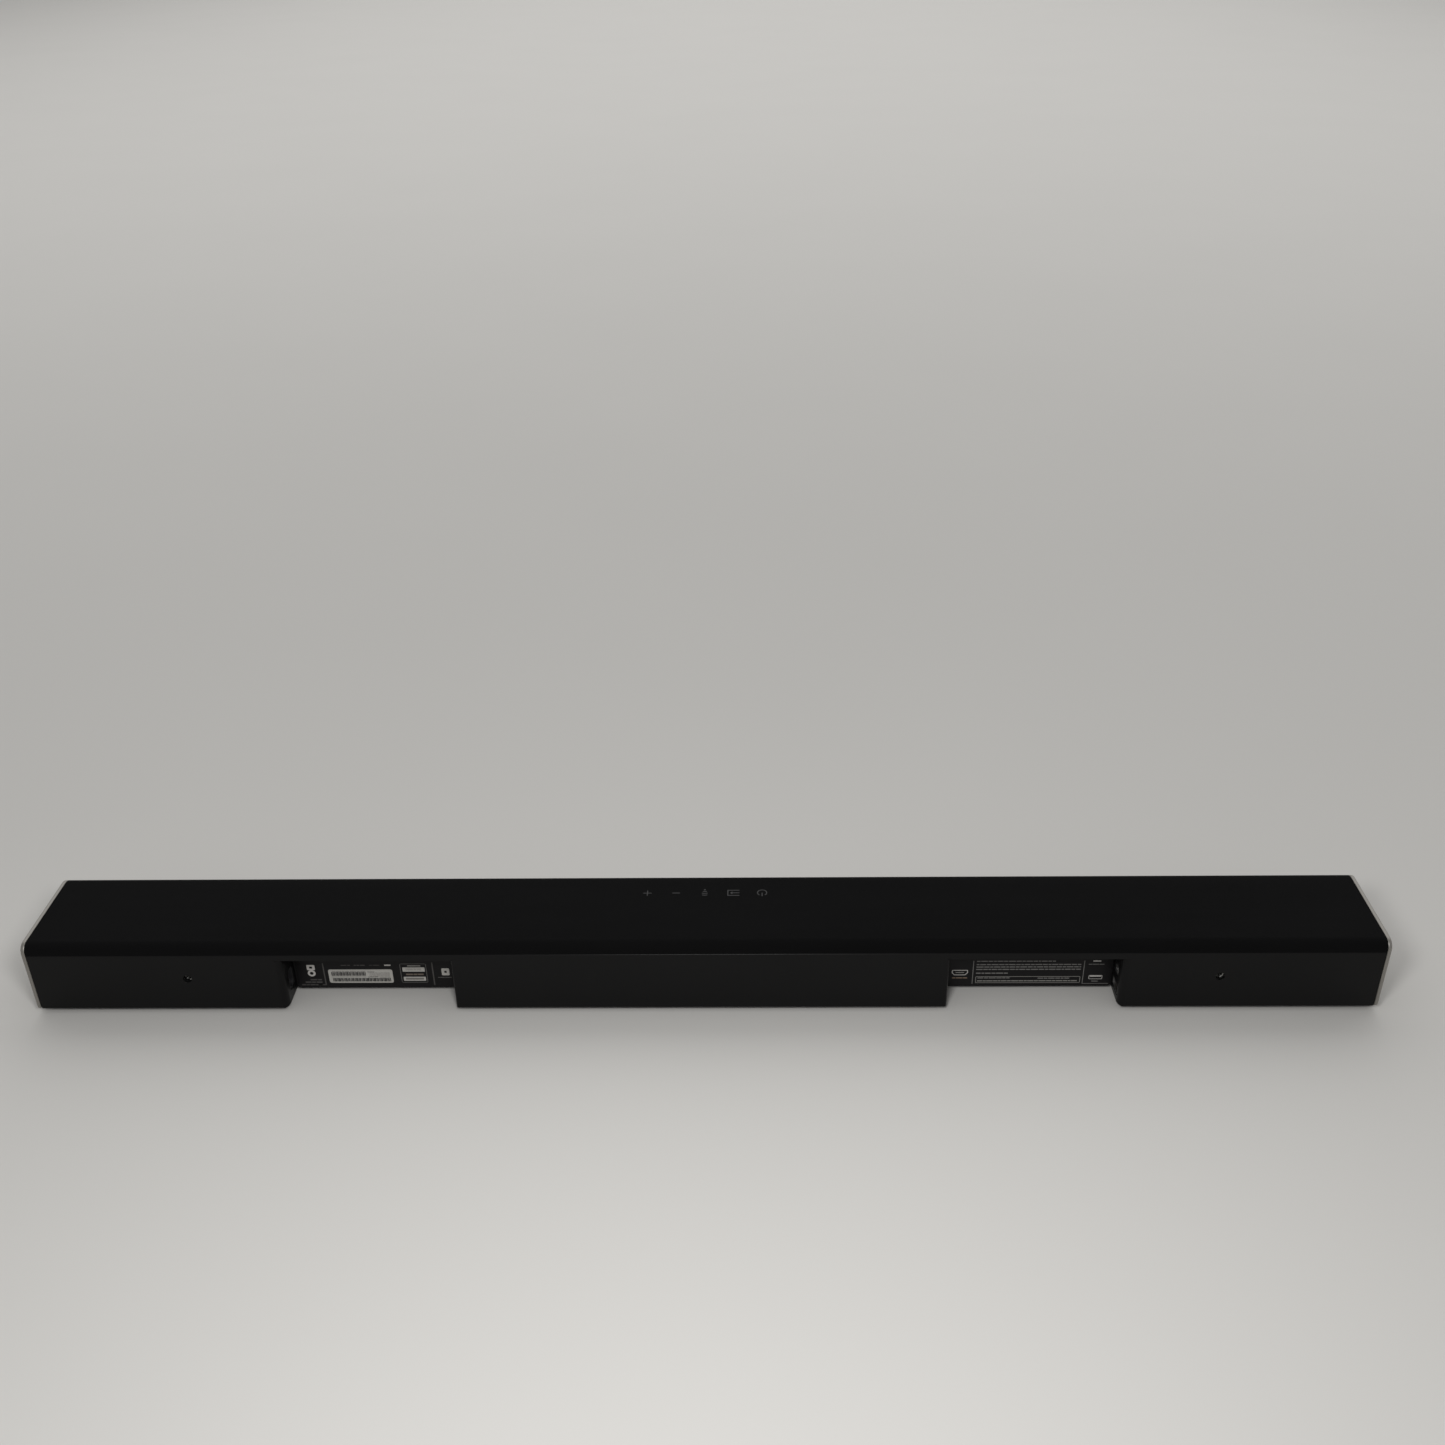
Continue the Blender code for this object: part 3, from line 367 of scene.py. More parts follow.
def new_object(name, bm, material=None):
    bmesh.ops.recalc_face_normals(bm, faces=bm.faces)
    mesh = bpy.data.meshes.new(name)
    bm.to_mesh(mesh)
    bm.free()
    obj = bpy.data.objects.new(name, mesh)
    bpy.context.scene.collection.objects.link(obj)
    if material:
        mesh.materials.append(MATERIALS[material])
    return obj


def settle(obj):
    """Applies the object's modifiers to its mesh."""
    bpy.context.view_layer.update()
    graph = bpy.context.evaluated_depsgraph_get()
    mesh = bpy.data.meshes.new_from_object(obj.evaluated_get(graph), depsgraph=graph)
    obj.modifiers.clear()
    obj.data = mesh
    return obj


def shade(obj, angle=SHARP):
    obj.data.shade_smooth()
    obj.data.set_sharp_from_angle(angle=angle)
    return obj


def add_stack(bm, layers):
    """A closed stack of outlines with equal numbers of points: (z, outline) from the bottom up."""
    rings = [[bm.verts.new((*p, z)) for p in outline] for z, outline in layers]
    bm.faces.new(rings[0])
    bm.faces.new(rings[-1])
    for below, above in zip(rings, rings[1:]):
        for k in range(len(below)):
            after = (k + 1) % len(below)
            bm.faces.new((below[k], below[after], above[after], above[k]))


def solid(name, axis, outline, low, high, material=None):
    bm = bmesh.new()
    add_prism(bm, axis, outline, min(low, high), max(low, high))
    return new_object(name, bm, material)


def turned(name, axis, centre, profile, material=None, sides=48):
    bm = bmesh.new()
    add_turned(bm, axis, centre, profile, sides)
    return new_object(name, bm, material)


def boolean(target, operation, *others):
    """Cuts the others from the target, or joins them to it, and removes them."""
    for other in others:
        modifier = target.modifiers.new(other.name, "BOOLEAN")
        modifier.operation = operation
        modifier.object = other
    settle(target)
    for other in others:
        bpy.data.objects.remove(other)
    return target


def soften(obj, width, segments=2, angle=math.radians(38)):
    """Merges flat faces, rounds the hard edges and keeps the flat faces' shading flat."""
    bm = bmesh.new()
    bm.from_mesh(obj.data)
    bmesh.ops.remove_doubles(bm, verts=bm.verts, dist=0.002 * MM)
    bmesh.ops.dissolve_limit(bm, angle_limit=math.radians(0.5), verts=bm.verts, edges=bm.edges)
    bm.to_mesh(obj.data)
    bm.free()
    bevel = obj.modifiers.new("edges", "BEVEL")
    bevel.width = width
    bevel.segments = segments
    bevel.limit_method = "ANGLE"
    bevel.angle_limit = angle
    bevel.use_clamp_overlap = False
    settle(obj)
    shade(obj, math.radians(50))
    weighted = obj.modifiers.new("shading", "WEIGHTED_NORMAL")
    weighted.keep_sharp = True
    return obj


def fit(obj, body="root", stands_for=()):
    """The piece rides on its body and stands for its CAD nodes, which it hides."""
    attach(obj, body)
    if stands_for:
        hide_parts(*stands_for)
    return obj


# ---- cloth ----------------------------------------------------------------------------------
def section_corners(radii=CORNER_RADII):
    """The bar's cross-section as corners (y, z, radius)."""
    corners = ((FRONT_Y, BASE_Z), (BACK_Y, BASE_Z), (BACK_Y, TOP_Z), (FRONT_Y, TOP_Z))
    return [(y, z, radius) for (y, z), radius in zip(corners, radii)]


def cloth_path():
    """The cloth's outer face in section, from its front hem over the top to the rear seam."""
    front_bottom, _, rear_top, front_top = section_corners()
    stops = [
        (HEM_Y, BASE_Z, 0),
        front_bottom,
        front_top,
        (KEY_Y - KEY_OUTER, TOP_Z, 0),
        (KEY_Y + KEY_OUTER, TOP_Z, 0),
        rear_top,
        (BACK_Y, SEAM_Z, 0),
    ]
    return rounded(stops, 12)


def lengths_along(path):
    total, found = 0.0, [0.0]
    for a, b in zip(path, path[1:]):
        total += (b - a).length
        found.append(total)
    return found


def key_places():
    """(name, x) of each key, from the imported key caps."""
    boxes = [(name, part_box(f"key_{name}")) for name in KEY_NAMES]
    return [(name, (low.x + high.x) / 2) for name, (low, high) in boxes]


def lay_flat(bm, flat_of):
    """Writes the cloth's flat coordinates into the UV layer that the weave reads."""
    layer = bm.loops.layers.uv.new("flat")
    for face in bm.faces:
        for loop in face.loops:
            loop[layer].uv = flat_of[loop.vert]


def thicken(obj):
    wall = obj.modifiers.new("thickness", "SOLIDIFY")
    wall.thickness = CLOTH_THICK
    wall.offset = -1
    settle(obj)
    return shade(obj)


def cloth_skin():
    """The one wrapped sheet, open where it gives way to the five keys."""
    path = cloth_path()
    along = lengths_along(path)
    columns = {-BODY_X, BODY_X}
    holes = [(x - KEY_OUTER, x + KEY_OUTER) for _, x in key_places()]
    for hole in holes:
        columns.update(hole)
    columns = sorted(columns)
    bm = bmesh.new()
    flat_of = {}
    grid = []
    for x in columns:
        line = [bm.verts.new((x, p.x, p.y)) for p in path]
        flat_of.update({vert: (x, s) for vert, s in zip(line, along)})
        grid.append(line)
    for i in range(len(columns) - 1):
        over_key = (columns[i], columns[i + 1]) in holes
        for k in range(len(path) - 1):
            if over_key and abs((path[k].x + path[k + 1].x) / 2 - KEY_Y) < KEY_OUTER / 2:
                continue
            bm.faces.new((grid[i][k], grid[i + 1][k], grid[i + 1][k + 1], grid[i][k + 1]))
    lay_flat(bm, flat_of)
    skin = thicken(new_object("cloth_skin", bm, "grille_cloth"))
    return fit(skin, "root", ["grille_cloth"]), along[-1]


def flat_top_length():
    """Arc length of the cloth, less y, anywhere on its flat top."""
    path = cloth_path()
    along = lengths_along(path)
    edge = Vector((KEY_Y - KEY_OUTER, TOP_Z))
    k = min(range(len(path)), key=lambda i: (path[i] - edge).length)
    return along[k] - path[k].x


def cloth_patch(name, points, faces):
    """A patch of the cloth on the flat top, from (x, y) points and faces by index."""
    bm = bmesh.new()
    shift = flat_top_length()
    verts = [bm.verts.new((x, y, TOP_Z)) for x, y in points]
    for face in faces:
        bm.faces.new([verts[i] for i in face])
    lay_flat(bm, {vert: (x, y + shift) for vert, (x, y) in zip(verts, points)})
    obj = new_object(name, bm, "grille_cloth")
    if obj.data.polygons[0].normal.z < 0:
        obj.data.flip_normals()
    return thicken(obj)


def cloth_over_key(name, x):
    """The square of cloth on a key, and the four wedges that join it to the skin."""
    body = f"key_{name}"
    corners = [(x + i * KEY_INNER, KEY_Y + j * KEY_INNER) for i, j in ((-1, -1), (1, -1), (1, 1), (-1, 1))]
    made = [fit(cloth_patch(f"cloth_on_{body}", corners, [(0, 1, 2, 3)]), body)]
    rows, across = 8, 6
    directions = (("front", (0, -1)), ("back", (0, 1)), ("left", (-1, 0)), ("right", (1, 0)))
    for side, (dx, dy) in directions:
        points = []
        for r in range(rows + 1):
            reach = KEY_OUTER + (KEY_INNER - KEY_OUTER) * r / rows
            for c in range(across + 1):
                swing = reach * (2 * c / across - 1)
                points.append((x + dx * reach + dy * swing, KEY_Y + dy * reach + dx * swing))
        step = across + 1
        starts = [r * step + c for r in range(rows) for c in range(across)]
        faces = [(i, i + 1, i + step + 1, i + step) for i in starts]
        wedge = cloth_patch(f"cloth_{side}_of_{body}", points, faces)
        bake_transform(wedge)
        made.append(wedge)
    return made


# ---- key marks --------------------------------------------------------------------------------
MARK_LOW = TOP_Z - 0.01 * MM
MARK_HIGH = TOP_Z + 0.06 * MM
STROKE = 0.68 * MM


def add_bar(bm, x0, x1, y0, y1):
    add_prism(bm, "Z", rectangle(x0, x1, y0, y1, 0.2 * MM, 3), MARK_LOW, MARK_HIGH)


def arc_band(x, y, radius, width, first, last, steps=24):
    """The outline of a stroke that follows an arc, angles in degrees from +X."""
    turns = [math.radians(first + (last - first) * k / steps) for k in range(steps + 1)]
    outer, inner = (
        [(x + reach * math.cos(t), y + reach * math.sin(t)) for t in turns]
        for reach in (radius + width / 2, radius - width / 2)
    )
    return outer + inner[::-1]


def mark_volume_up(bm, x):
    reach = 3 * MM
    half = STROKE / 2
    add_bar(bm, x - reach, x + reach, KEY_Y - half, KEY_Y + half)
    for sign in (-1, 1):
        near, far = sorted((KEY_Y + sign * half, KEY_Y + sign * reach))
        add_bar(bm, x - half, x + half, near, far)


def mark_volume_down(bm, x):
    add_bar(bm, x - 2.7 * MM, x + 2.7 * MM, KEY_Y - STROKE / 2, KEY_Y + STROKE / 2)


def mark_wireless(bm, x):
    """A generic wireless sign: a dot under three spreading arcs."""
    foot = KEY_Y - 3.6 * MM
    add_prism(bm, "Z", circle(x, foot, 0.7 * MM, 20), MARK_LOW, MARK_HIGH)
    for radius, half in ((2.2 * MM, 38), (4.2 * MM, 28), (6.2 * MM, 17)):
        band = arc_band(x, foot, radius, STROKE, 90 - half, 90 + half)
        add_prism(bm, "Z", band, MARK_LOW, MARK_HIGH)


def mark_input(bm, x):
    """A screen outline, open towards the listener's left, with an arrow going in."""
    x0, x1 = x - 4.2 * MM, x + 4.2 * MM
    y0, y1 = KEY_Y - 3.3 * MM, KEY_Y + 3.3 * MM
    add_bar(bm, x0, x1, y0, y0 + STROKE)
    add_bar(bm, x0, x1, y1 - STROKE, y1)
    add_bar(bm, x1 - STROKE, x1, y0 + STROKE, y1 - STROKE)
    tip = x + 2.3 * MM
    half, head = STROKE / 2, 1.6 * MM
    arrow = [
        (x0, KEY_Y - half),
        (tip - head, KEY_Y - half),
        (tip - head, KEY_Y - head),
        (tip, KEY_Y),
        (tip - head, KEY_Y + head),
        (tip - head, KEY_Y + half),
        (x0, KEY_Y + half),
    ]
    add_prism(bm, "Z", arrow, MARK_LOW, MARK_HIGH)


def mark_power(bm, x):
    add_prism(bm, "Z", arc_band(x, KEY_Y, 3.2 * MM, STROKE, 125, 415, 48), MARK_LOW, MARK_HIGH)
    add_bar(bm, x - STROKE / 2, x + STROKE / 2, KEY_Y, KEY_Y + 4 * MM)


def key_marks():
    draw = {
        "power": mark_power,
        "input": mark_input,
        "wireless": mark_wireless,
        "volume_down": mark_volume_down,
        "volume_up": mark_volume_up,
    }
    for name, x in key_places():
        bm = bmesh.new()
        draw[name](bm, x)
        fit(shade(new_object(f"mark_{name}", bm, "key_ink")), f"key_{name}")


# ---- housing ------------------------------------------------------------------------------------
FLOOR_Z = BASE_Z + WALL
DECK_TOP_Z = TOP_Z - BODY_IN
DECK_Z = DECK_TOP_Z - WALL
STEP_Z = FLOOR_Z + 3 * MM
STEP_Y = HEM_Y + 3.1 * MM
INSIDE_BACK_Y = BACK_Y - WALL
LEDGE_Z = SEAM_Z - GAP - WALL
LEDGE_Y = INSIDE_BACK_Y - 3 * MM

SCREW_PLACES = [(x * MM, -21 * MM) for x in (-430, -215, 0, 215, 430)]
SCREW_PLACES += [(x * MM, 33 * MM) for x in (-430, -325, -120, 120, 325, 430)]
SCREW_RECESS = 3.4 * MM
SCREW_DEPTH = 1.4 * MM

SPARE = 1 * MM  # how far a small cutter reaches past what it cuts
BEYOND = 6 * MM  # how far the bays' cutters reach out of the rear
BELOW = 2 * MM  # how far they reach out of the underside
KEY_WINDOW = (54 * MM, 9 * MM)  # half sizes in x and y
BOSS_RADIUS = 6 * MM
BOSS_FRONT_Y = 27 * MM
BOSS_BACK_Y = 38.6 * MM
INSERT_POCKET_Y = 28.5 * MM
INSERT_POCKET_RADIUS = 3.9 * MM
WALL_HOLE_RADIUS = 3 * MM


def housing_section():
    step = HEM_Y + 2 * GAP
    return rounded(
        [
            (step, BASE_Z, 0),
            (BACK_Y, BASE_Z, CORNER_RADII[1]),
            (BACK_Y, SEAM_Z - GAP, 0.9 * MM),
            (BACK_Y - BODY_IN, SEAM_Z - GAP, 0),
            (BACK_Y - BODY_IN, DECK_TOP_Z, CORNER_RADII[2] - BODY_IN),
            (FRONT_Y + BODY_IN, DECK_TOP_Z, CORNER_RADII[3] - BODY_IN),
            (FRONT_Y + BODY_IN, BASE_Z + BODY_IN, 1 * MM),
            (step, BASE_Z + BODY_IN, 0),
        ],
        8,
    )


def hollow_section():
    return [
        (FRONT_Y, STEP_Z),
        (STEP_Y, STEP_Z),
        (STEP_Y, FLOOR_Z),
        (INSIDE_BACK_Y, FLOOR_Z),
        (INSIDE_BACK_Y, LEDGE_Z),
        (LEDGE_Y, LEDGE_Z),
        (LEDGE_Y, DECK_Z),
        (FRONT_Y, DECK_Z),
    ]


def bay_plan(side, grow=0.0):
    """A connector bay seen from above; its mouth flares into rounded edges."""
    x0, x1, y0 = BAY_IN_X - grow, BAY_OUT_X + grow, BAY_BACK_Y - grow
    mouth = BACK_Y + 0.15 * MM
    beyond = BACK_Y + BEYOND
    spare = 0.3 * MM
    corners = [
        (x0, y0, 1 * MM),
        (x1, y0, 1 * MM),
        (x1, mouth, BAY_MOUTH_RADIUS),
        (x1 + BAY_MOUTH_RADIUS + spare, mouth, 0),
        (x1 + BAY_MOUTH_RADIUS + spare, beyond, 0),
        (x0 - BAY_INNER_RADIUS - spare, beyond, 0),
        (x0 - BAY_INNER_RADIUS - spare, mouth, 0),
        (x0, mouth, BAY_INNER_RADIUS),
    ]
    return [(side * p.x, p.y) for p in rounded(corners, 12)]


def bay_cutter(side, name):
    """The space of a connector bay, spreading at the underside to round the moulding's edge."""
    steps = 6
    layers = [(BASE_Z - BELOW, bay_plan(side, BAY_EDGE_RADIUS))]
    for k in range(steps, -1, -1):
        turn = math.pi / 2 * k / steps
        height = BASE_Z + BAY_EDGE_RADIUS * (1 - math.sin(turn))
        layers.append((height, bay_plan(side, BAY_EDGE_RADIUS * (1 - math.cos(turn)))))
    layers.append((BAY_TOP_Z, bay_plan(side)))
    bm = bmesh.new()
    add_stack(bm, layers)
    return new_object(name, bm)


def housing_shell():
    """The one moulding of the rear, the underside and the hidden deck, with its bays."""
    shell = solid("rear_shell", "X", housing_section(), -BODY_X, BODY_X, "housing_plastic")
    hollow = solid("hollow", "X", hollow_section(), -BODY_X - BELOW, BODY_X + BELOW)
    bays, linings = [], []
    for side, tag in SIDES:
        bays.append(bay_cutter(side, f"bay_{tag}"))
        inner, outer = side * (BAY_IN_X - WALL), side * (BAY_OUT_X + WALL)
        near, far = sorted((inner, outer))
        plan = rectangle(near, far, BAY_BACK_Y - WALL, BACK_Y + BEYOND)
        linings.append(solid(f"lining_{tag}", "Z", plan, BASE_Z - BELOW, BAY_TOP_Z + WALL))
    boolean(hollow, "DIFFERENCE", *linings)
    half_x, half_y = KEY_WINDOW
    window = rectangle(-half_x, half_x, KEY_Y - half_y, KEY_Y + half_y)
    keys = solid("key_window", "Z", window, DECK_Z - SPARE, DECK_TOP_Z + SPARE)
    boolean(shell, "DIFFERENCE", hollow, *bays, keys)
    bosses, cutters = [], []
    for side, tag in SIDES:
        insert_low, insert_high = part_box(f"wall_insert_{tag}")
        spot = (insert_low + insert_high) / 2
        spot.y = 0
        boss = [
            (0, BOSS_FRONT_Y),
            (BOSS_RADIUS, BOSS_FRONT_Y),
            (BOSS_RADIUS, BOSS_BACK_Y),
            (0, BOSS_BACK_Y),
        ]
        bore = [
            (0, INSERT_POCKET_Y),
            (INSERT_POCKET_RADIUS, INSERT_POCKET_Y),
            (INSERT_POCKET_RADIUS, INSIDE_BACK_Y),
            (WALL_HOLE_RADIUS, INSIDE_BACK_Y),
            (WALL_HOLE_RADIUS, BACK_Y + SPARE),
            (0, BACK_Y + SPARE),
        ]
        bosses.append(turned(f"boss_{tag}", "Y", spot, boss))
        cutters.append(turned(f"bore_{tag}", "Y", spot, bore))
    boolean(shell, "UNION", *bosses)
    for name, (wall_x, into, outline) in NOSES.items():
        before, behind = wall_x - into * SPARE, wall_x + into * (WALL + SPARE)
        cutters.append(solid(f"hole_{name}", "X", outline, before, behind))
    for i, (x, y) in enumerate(SCREW_PLACES):
        recess = circle(x, y, SCREW_RECESS, 40)
        cutters.append(solid(f"recess_{i}", "Z", recess, BASE_Z - SPARE, BASE_Z + SCREW_DEPTH))
    for name in FOOT_NAMES:
        foot_low, foot_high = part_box(name)
        half = (foot_high.y - foot_low.y) / 2 + GAP - 0.05 * MM
        pocket = around(foot_low, foot_high, GAP, half)
        cutters.append(solid(f"pocket_{name}", "Z", pocket, BASE_Z - SPARE, foot_high.z + GAP))
    boolean(shell, "DIFFERENCE", *cutters)
    soften(shell, 0.3 * MM)
    return fit(shell, "root", ["rear_housing"])


# ---- sockets ---------------------------------------------------------------------------------------
PIN_PITCH = 8.6 * MM  # between the two mains pins


def middle(node):
    low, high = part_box(node)
    return (low + high) / 2


def ac_outline(grow=0.0):
    """The mains inlet's nose in (y, z), a rounded rectangle."""
    spot = middle("ac_inlet")
    half_y, half_z = 4.7 * MM + grow, 7.8 * MM + grow
    return rectangle(spot.y - half_y, spot.y + half_y, spot.z - half_z, spot.z + half_z, 3 * MM + grow)


def box_outline(node, wide, tall, radius):
    spot = middle(node)
    return rectangle(spot.y - wide / 2, spot.y + wide / 2, spot.z - tall / 2, spot.z + tall / 2, radius)


NOSES = {
    "ac_inlet": (BAY_OUT_X, 1, ac_outline(GAP)),
    "optical_socket": (BAY_IN_X, -1, box_outline("optical_socket", 10.6 * MM, 9.6 * MM, 1.1 * MM)),
    "av_socket": (-BAY_IN_X, 1, box_outline("av_socket", 15.8 * MM, 6.6 * MM, 0.9 * MM)),
    "service_socket": (-BAY_OUT_X, -1, box_outline("service_socket", 14.2 * MM, 6.8 * MM, 0.8 * MM)),
    "line_socket": (-BAY_OUT_X, -1, circle(middle("line_socket").y, middle("line_socket").z, 4.9 * MM)),
}


def copy_of(node, name, width, body="root"):
    """A new piece with a CAD node's shape and softened edges, which stands for that node."""
    source = frame["nodes"][node]
    obj = bpy.data.objects.new(name, source.data.copy())
    bpy.context.scene.collection.objects.link(obj)
    soften(obj, width)
    return fit(obj, body, [node])


def socket_cases():
    """The moulded and pressed cases, with a rounded shutter in the optical one."""
    for node in ("ac_inlet", "optical_socket", "av_socket", "service_socket", "line_socket"):
        copy_of(node, f"{node}_detailed", 0.12 * MM)
    shutter = "optical_shutter"
    copy_of(shutter, f"{shutter}_rounded", 0.1 * MM, shutter)


def mains_pins():
    """Two round steel pins with domed tips."""
    spot = middle("ac_inlet")
    tip, root, radius = BAY_OUT_X + 1.75 * MM, BAY_OUT_X + 9.9 * MM, 1.25 * MM
    turns = (0, 0.4, 0.8, 1.2, math.pi / 2)
    dome = [(radius * math.sin(t), tip + radius * (1 - math.cos(t))) for t in turns]
    for sign, tag in ((-1, "lower"), (1, "upper")):
        centre = Vector((0, spot.y, spot.z + sign * PIN_PITCH / 2))
        profile = [*dome, (radius, root), (0, root)]
        pin = turned(f"mains_pin_{tag}", "X", centre, profile, "socket_steel", 32)
        fit(shade(pin), "root")


def tongue(node, wall_x, into, depths, half_width, heights, count):
    """A dark tongue in a steel socket, with gold contacts along its lower and upper faces."""
    spot = middle(node)
    cover = 0.04 * MM
    near, far = (wall_x + into * depth for depth in depths)
    low, high = (spot.z + height for height in heights)
    reach = half_width + cover
    outline = rectangle(spot.y - reach, spot.y + reach, low - cover, high + cover, 0.15 * MM, 3)
    body = solid(f"{node}_tongue", "X", outline, near - into * cover, far, "tongue_plastic")
    fit(shade(body), "root")
    bm = bmesh.new()
    pitch = 2 * half_width / count
    half_strip = 0.28 * pitch
    x0, x1 = sorted((near + into * 0.5 * MM, far))
    for k in range(count):
        y = spot.y - half_width + pitch * (k + 0.5)
        for z in (low - cover, high + cover):
            strip = rectangle(y - half_strip, y + half_strip, z - cover, z + cover)
            add_prism(bm, "X", strip, x0, x1)
    fit(shade(new_object(f"{node}_contacts", bm, "contact_gold")), "root")


def line_ring():
    """The metal ring round the line socket's bore."""
    spot = middle("line_socket")
    spot.x = 0
    front = -BAY_OUT_X - 0.15 * MM
    bore, outer, slope, depth = 1.75 * MM, 3.1 * MM, 0.2 * MM, 1 * MM
    profile = [
        (bore, front),
        (outer - slope, front),
        (outer, front - slope),
        (outer, front - depth),
        (bore, front - depth),
    ]
    piece = turned("line_socket_ring", "X", spot, profile, "socket_steel", 40)
    fit(shade(piece), "root")


def sockets():
    socket_cases()
    mains_pins()
    tongue("av_socket", -BAY_IN_X, 1, (1.5 * MM, 10 * MM), 5.6 * MM, (-0.4 * MM, 0.6 * MM), 10)
    tongue("service_socket", -BAY_OUT_X, -1, (1.2 * MM, 12 * MM), 5.4 * MM, (-0.2 * MM, 1.5 * MM), 4)
    line_ring()


# ---- small hardware ------------------------------------------------------------------------------
def end_plates():
    for side, tag in SIDES:
        low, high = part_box(f"end_plate_{tag}")
        outer = low.x if side < 0 else high.x
        inner = outer - side * PLATE_THICK
        outline = rounded(section_corners(PLATE_RADII), 16)
        plate = solid(f"end_plate_{tag}_satin", "X", outline, inner, outer, "end_plate_silver")
        soften(plate, 0.8 * MM, 4)
        fit(plate, "root", [f"end_plate_{tag}"])


def feet():
    for name in FOOT_NAMES:
        low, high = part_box(name)
        half = (high.y - low.y) / 2 - 0.05 * MM
        pad = solid(f"{name}_pad", "Z", around(low, high, 0, half), low.z, high.z, "foot_rubber")
        soften(pad, 0.5 * MM, 3)
        fit(pad, "root", [name])


def wall_inserts():
    """Knurled nickel-plated inserts with a real helical thread inside."""
    bore, crest, outside = 2.1 * MM, 0.28 * MM, 3.6 * MM
    pitch, sides, rows = 0.8 * MM, 48, 84
    for _, tag in SIDES:
        low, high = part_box(f"wall_insert_{tag}")
        centre = (low + high) / 2
        bm = bmesh.new()
        skins = []
        for inner in (True, False):
            rings = []
            for r in range(rows + 1):
                y = low.y + (high.y - low.y) * r / rows
                ring = []
                for k in range(sides):
                    turn = 2 * math.pi * k / sides
                    phase = ((y - low.y) / pitch + k / sides) % 1
                    thread = bore - crest * (1 - abs(2 * phase - 1))
                    knurl = outside - 0.12 * MM * (k % 2)
                    radius = thread if inner else knurl
                    x = centre.x + radius * math.cos(turn)
                    z = centre.z + radius * math.sin(turn)
                    ring.append(bm.verts.new((x, y, z)))
                rings.append(ring)
            skins.append(rings)
            for a, b in zip(rings, rings[1:]):
                for k in range(sides):
                    after = (k + 1) % sides
                    bm.faces.new((a[k], a[after], b[after], b[k]))
        for end in (0, rows):
            a, b = skins[0][end], skins[1][end]
            for k in range(sides):
                after = (k + 1) % sides
                bm.faces.new((a[k], a[after], b[after], b[k]))
        insert = shade(new_object(f"wall_insert_{tag}_threaded", bm, "insert_nickel"), math.radians(60))
        fit(insert, "root", [f"wall_insert_{tag}"])


def screws():
    """Recessed pan-head screws with six-lobed sockets, on the underside."""
    seat = SCREW_DEPTH - 0.05 * MM
    rings = (
        (0, seat),
        (2.9 * MM, seat),
        (2.9 * MM, 0.7 * MM),
        (2.6 * MM, 0.4 * MM),
        (1.9 * MM, 0.2 * MM),
        (0, 0.15 * MM),
    )
    head = [(radius, BASE_Z + height) for radius, height in rings]
    drive_radius, lobe, drive_depth, sides = 1.15 * MM, 0.22 * MM, 0.9 * MM, 48
    lobes = []
    for k in range(sides):
        turn = 2 * math.pi * k / sides
        reach = drive_radius + lobe * math.cos(6 * turn)
        lobes.append((reach * math.cos(turn), reach * math.sin(turn)))
    first = turned("screw", "Z", Vector((0, 0, 0)), head, "screw_steel")
    drive = solid("drive", "Z", lobes, BASE_Z - SPARE, BASE_Z + drive_depth)
    boolean(first, "DIFFERENCE", drive)
    shade(first)
    for i, (x, y) in enumerate(SCREW_PLACES):
        screw = bpy.data.objects.new(f"housing_screw_{i + 1}", first.data)
        bpy.context.scene.collection.objects.link(screw)
        screw.location = (x, y, 0)
        fit(screw, "root")
    bpy.data.objects.remove(first)


# ---- prints in the bays -----------------------------------------------------------------------------
INK_BACK = FILM_Y - 0.01 * MM
INK_FRONT = FILM_Y + 0.04 * MM
PAPER_FRONT = FILM_Y + 0.12 * MM
TEXT_BACK = PAPER_FRONT - 0.01 * MM
TEXT_FRONT = PAPER_FRONT + 0.02 * MM
BARS_FRONT = PAPER_FRONT + 0.03 * MM
UNEVEN = 0.618  # whole multiples of it, less their whole part, never settle into a pattern


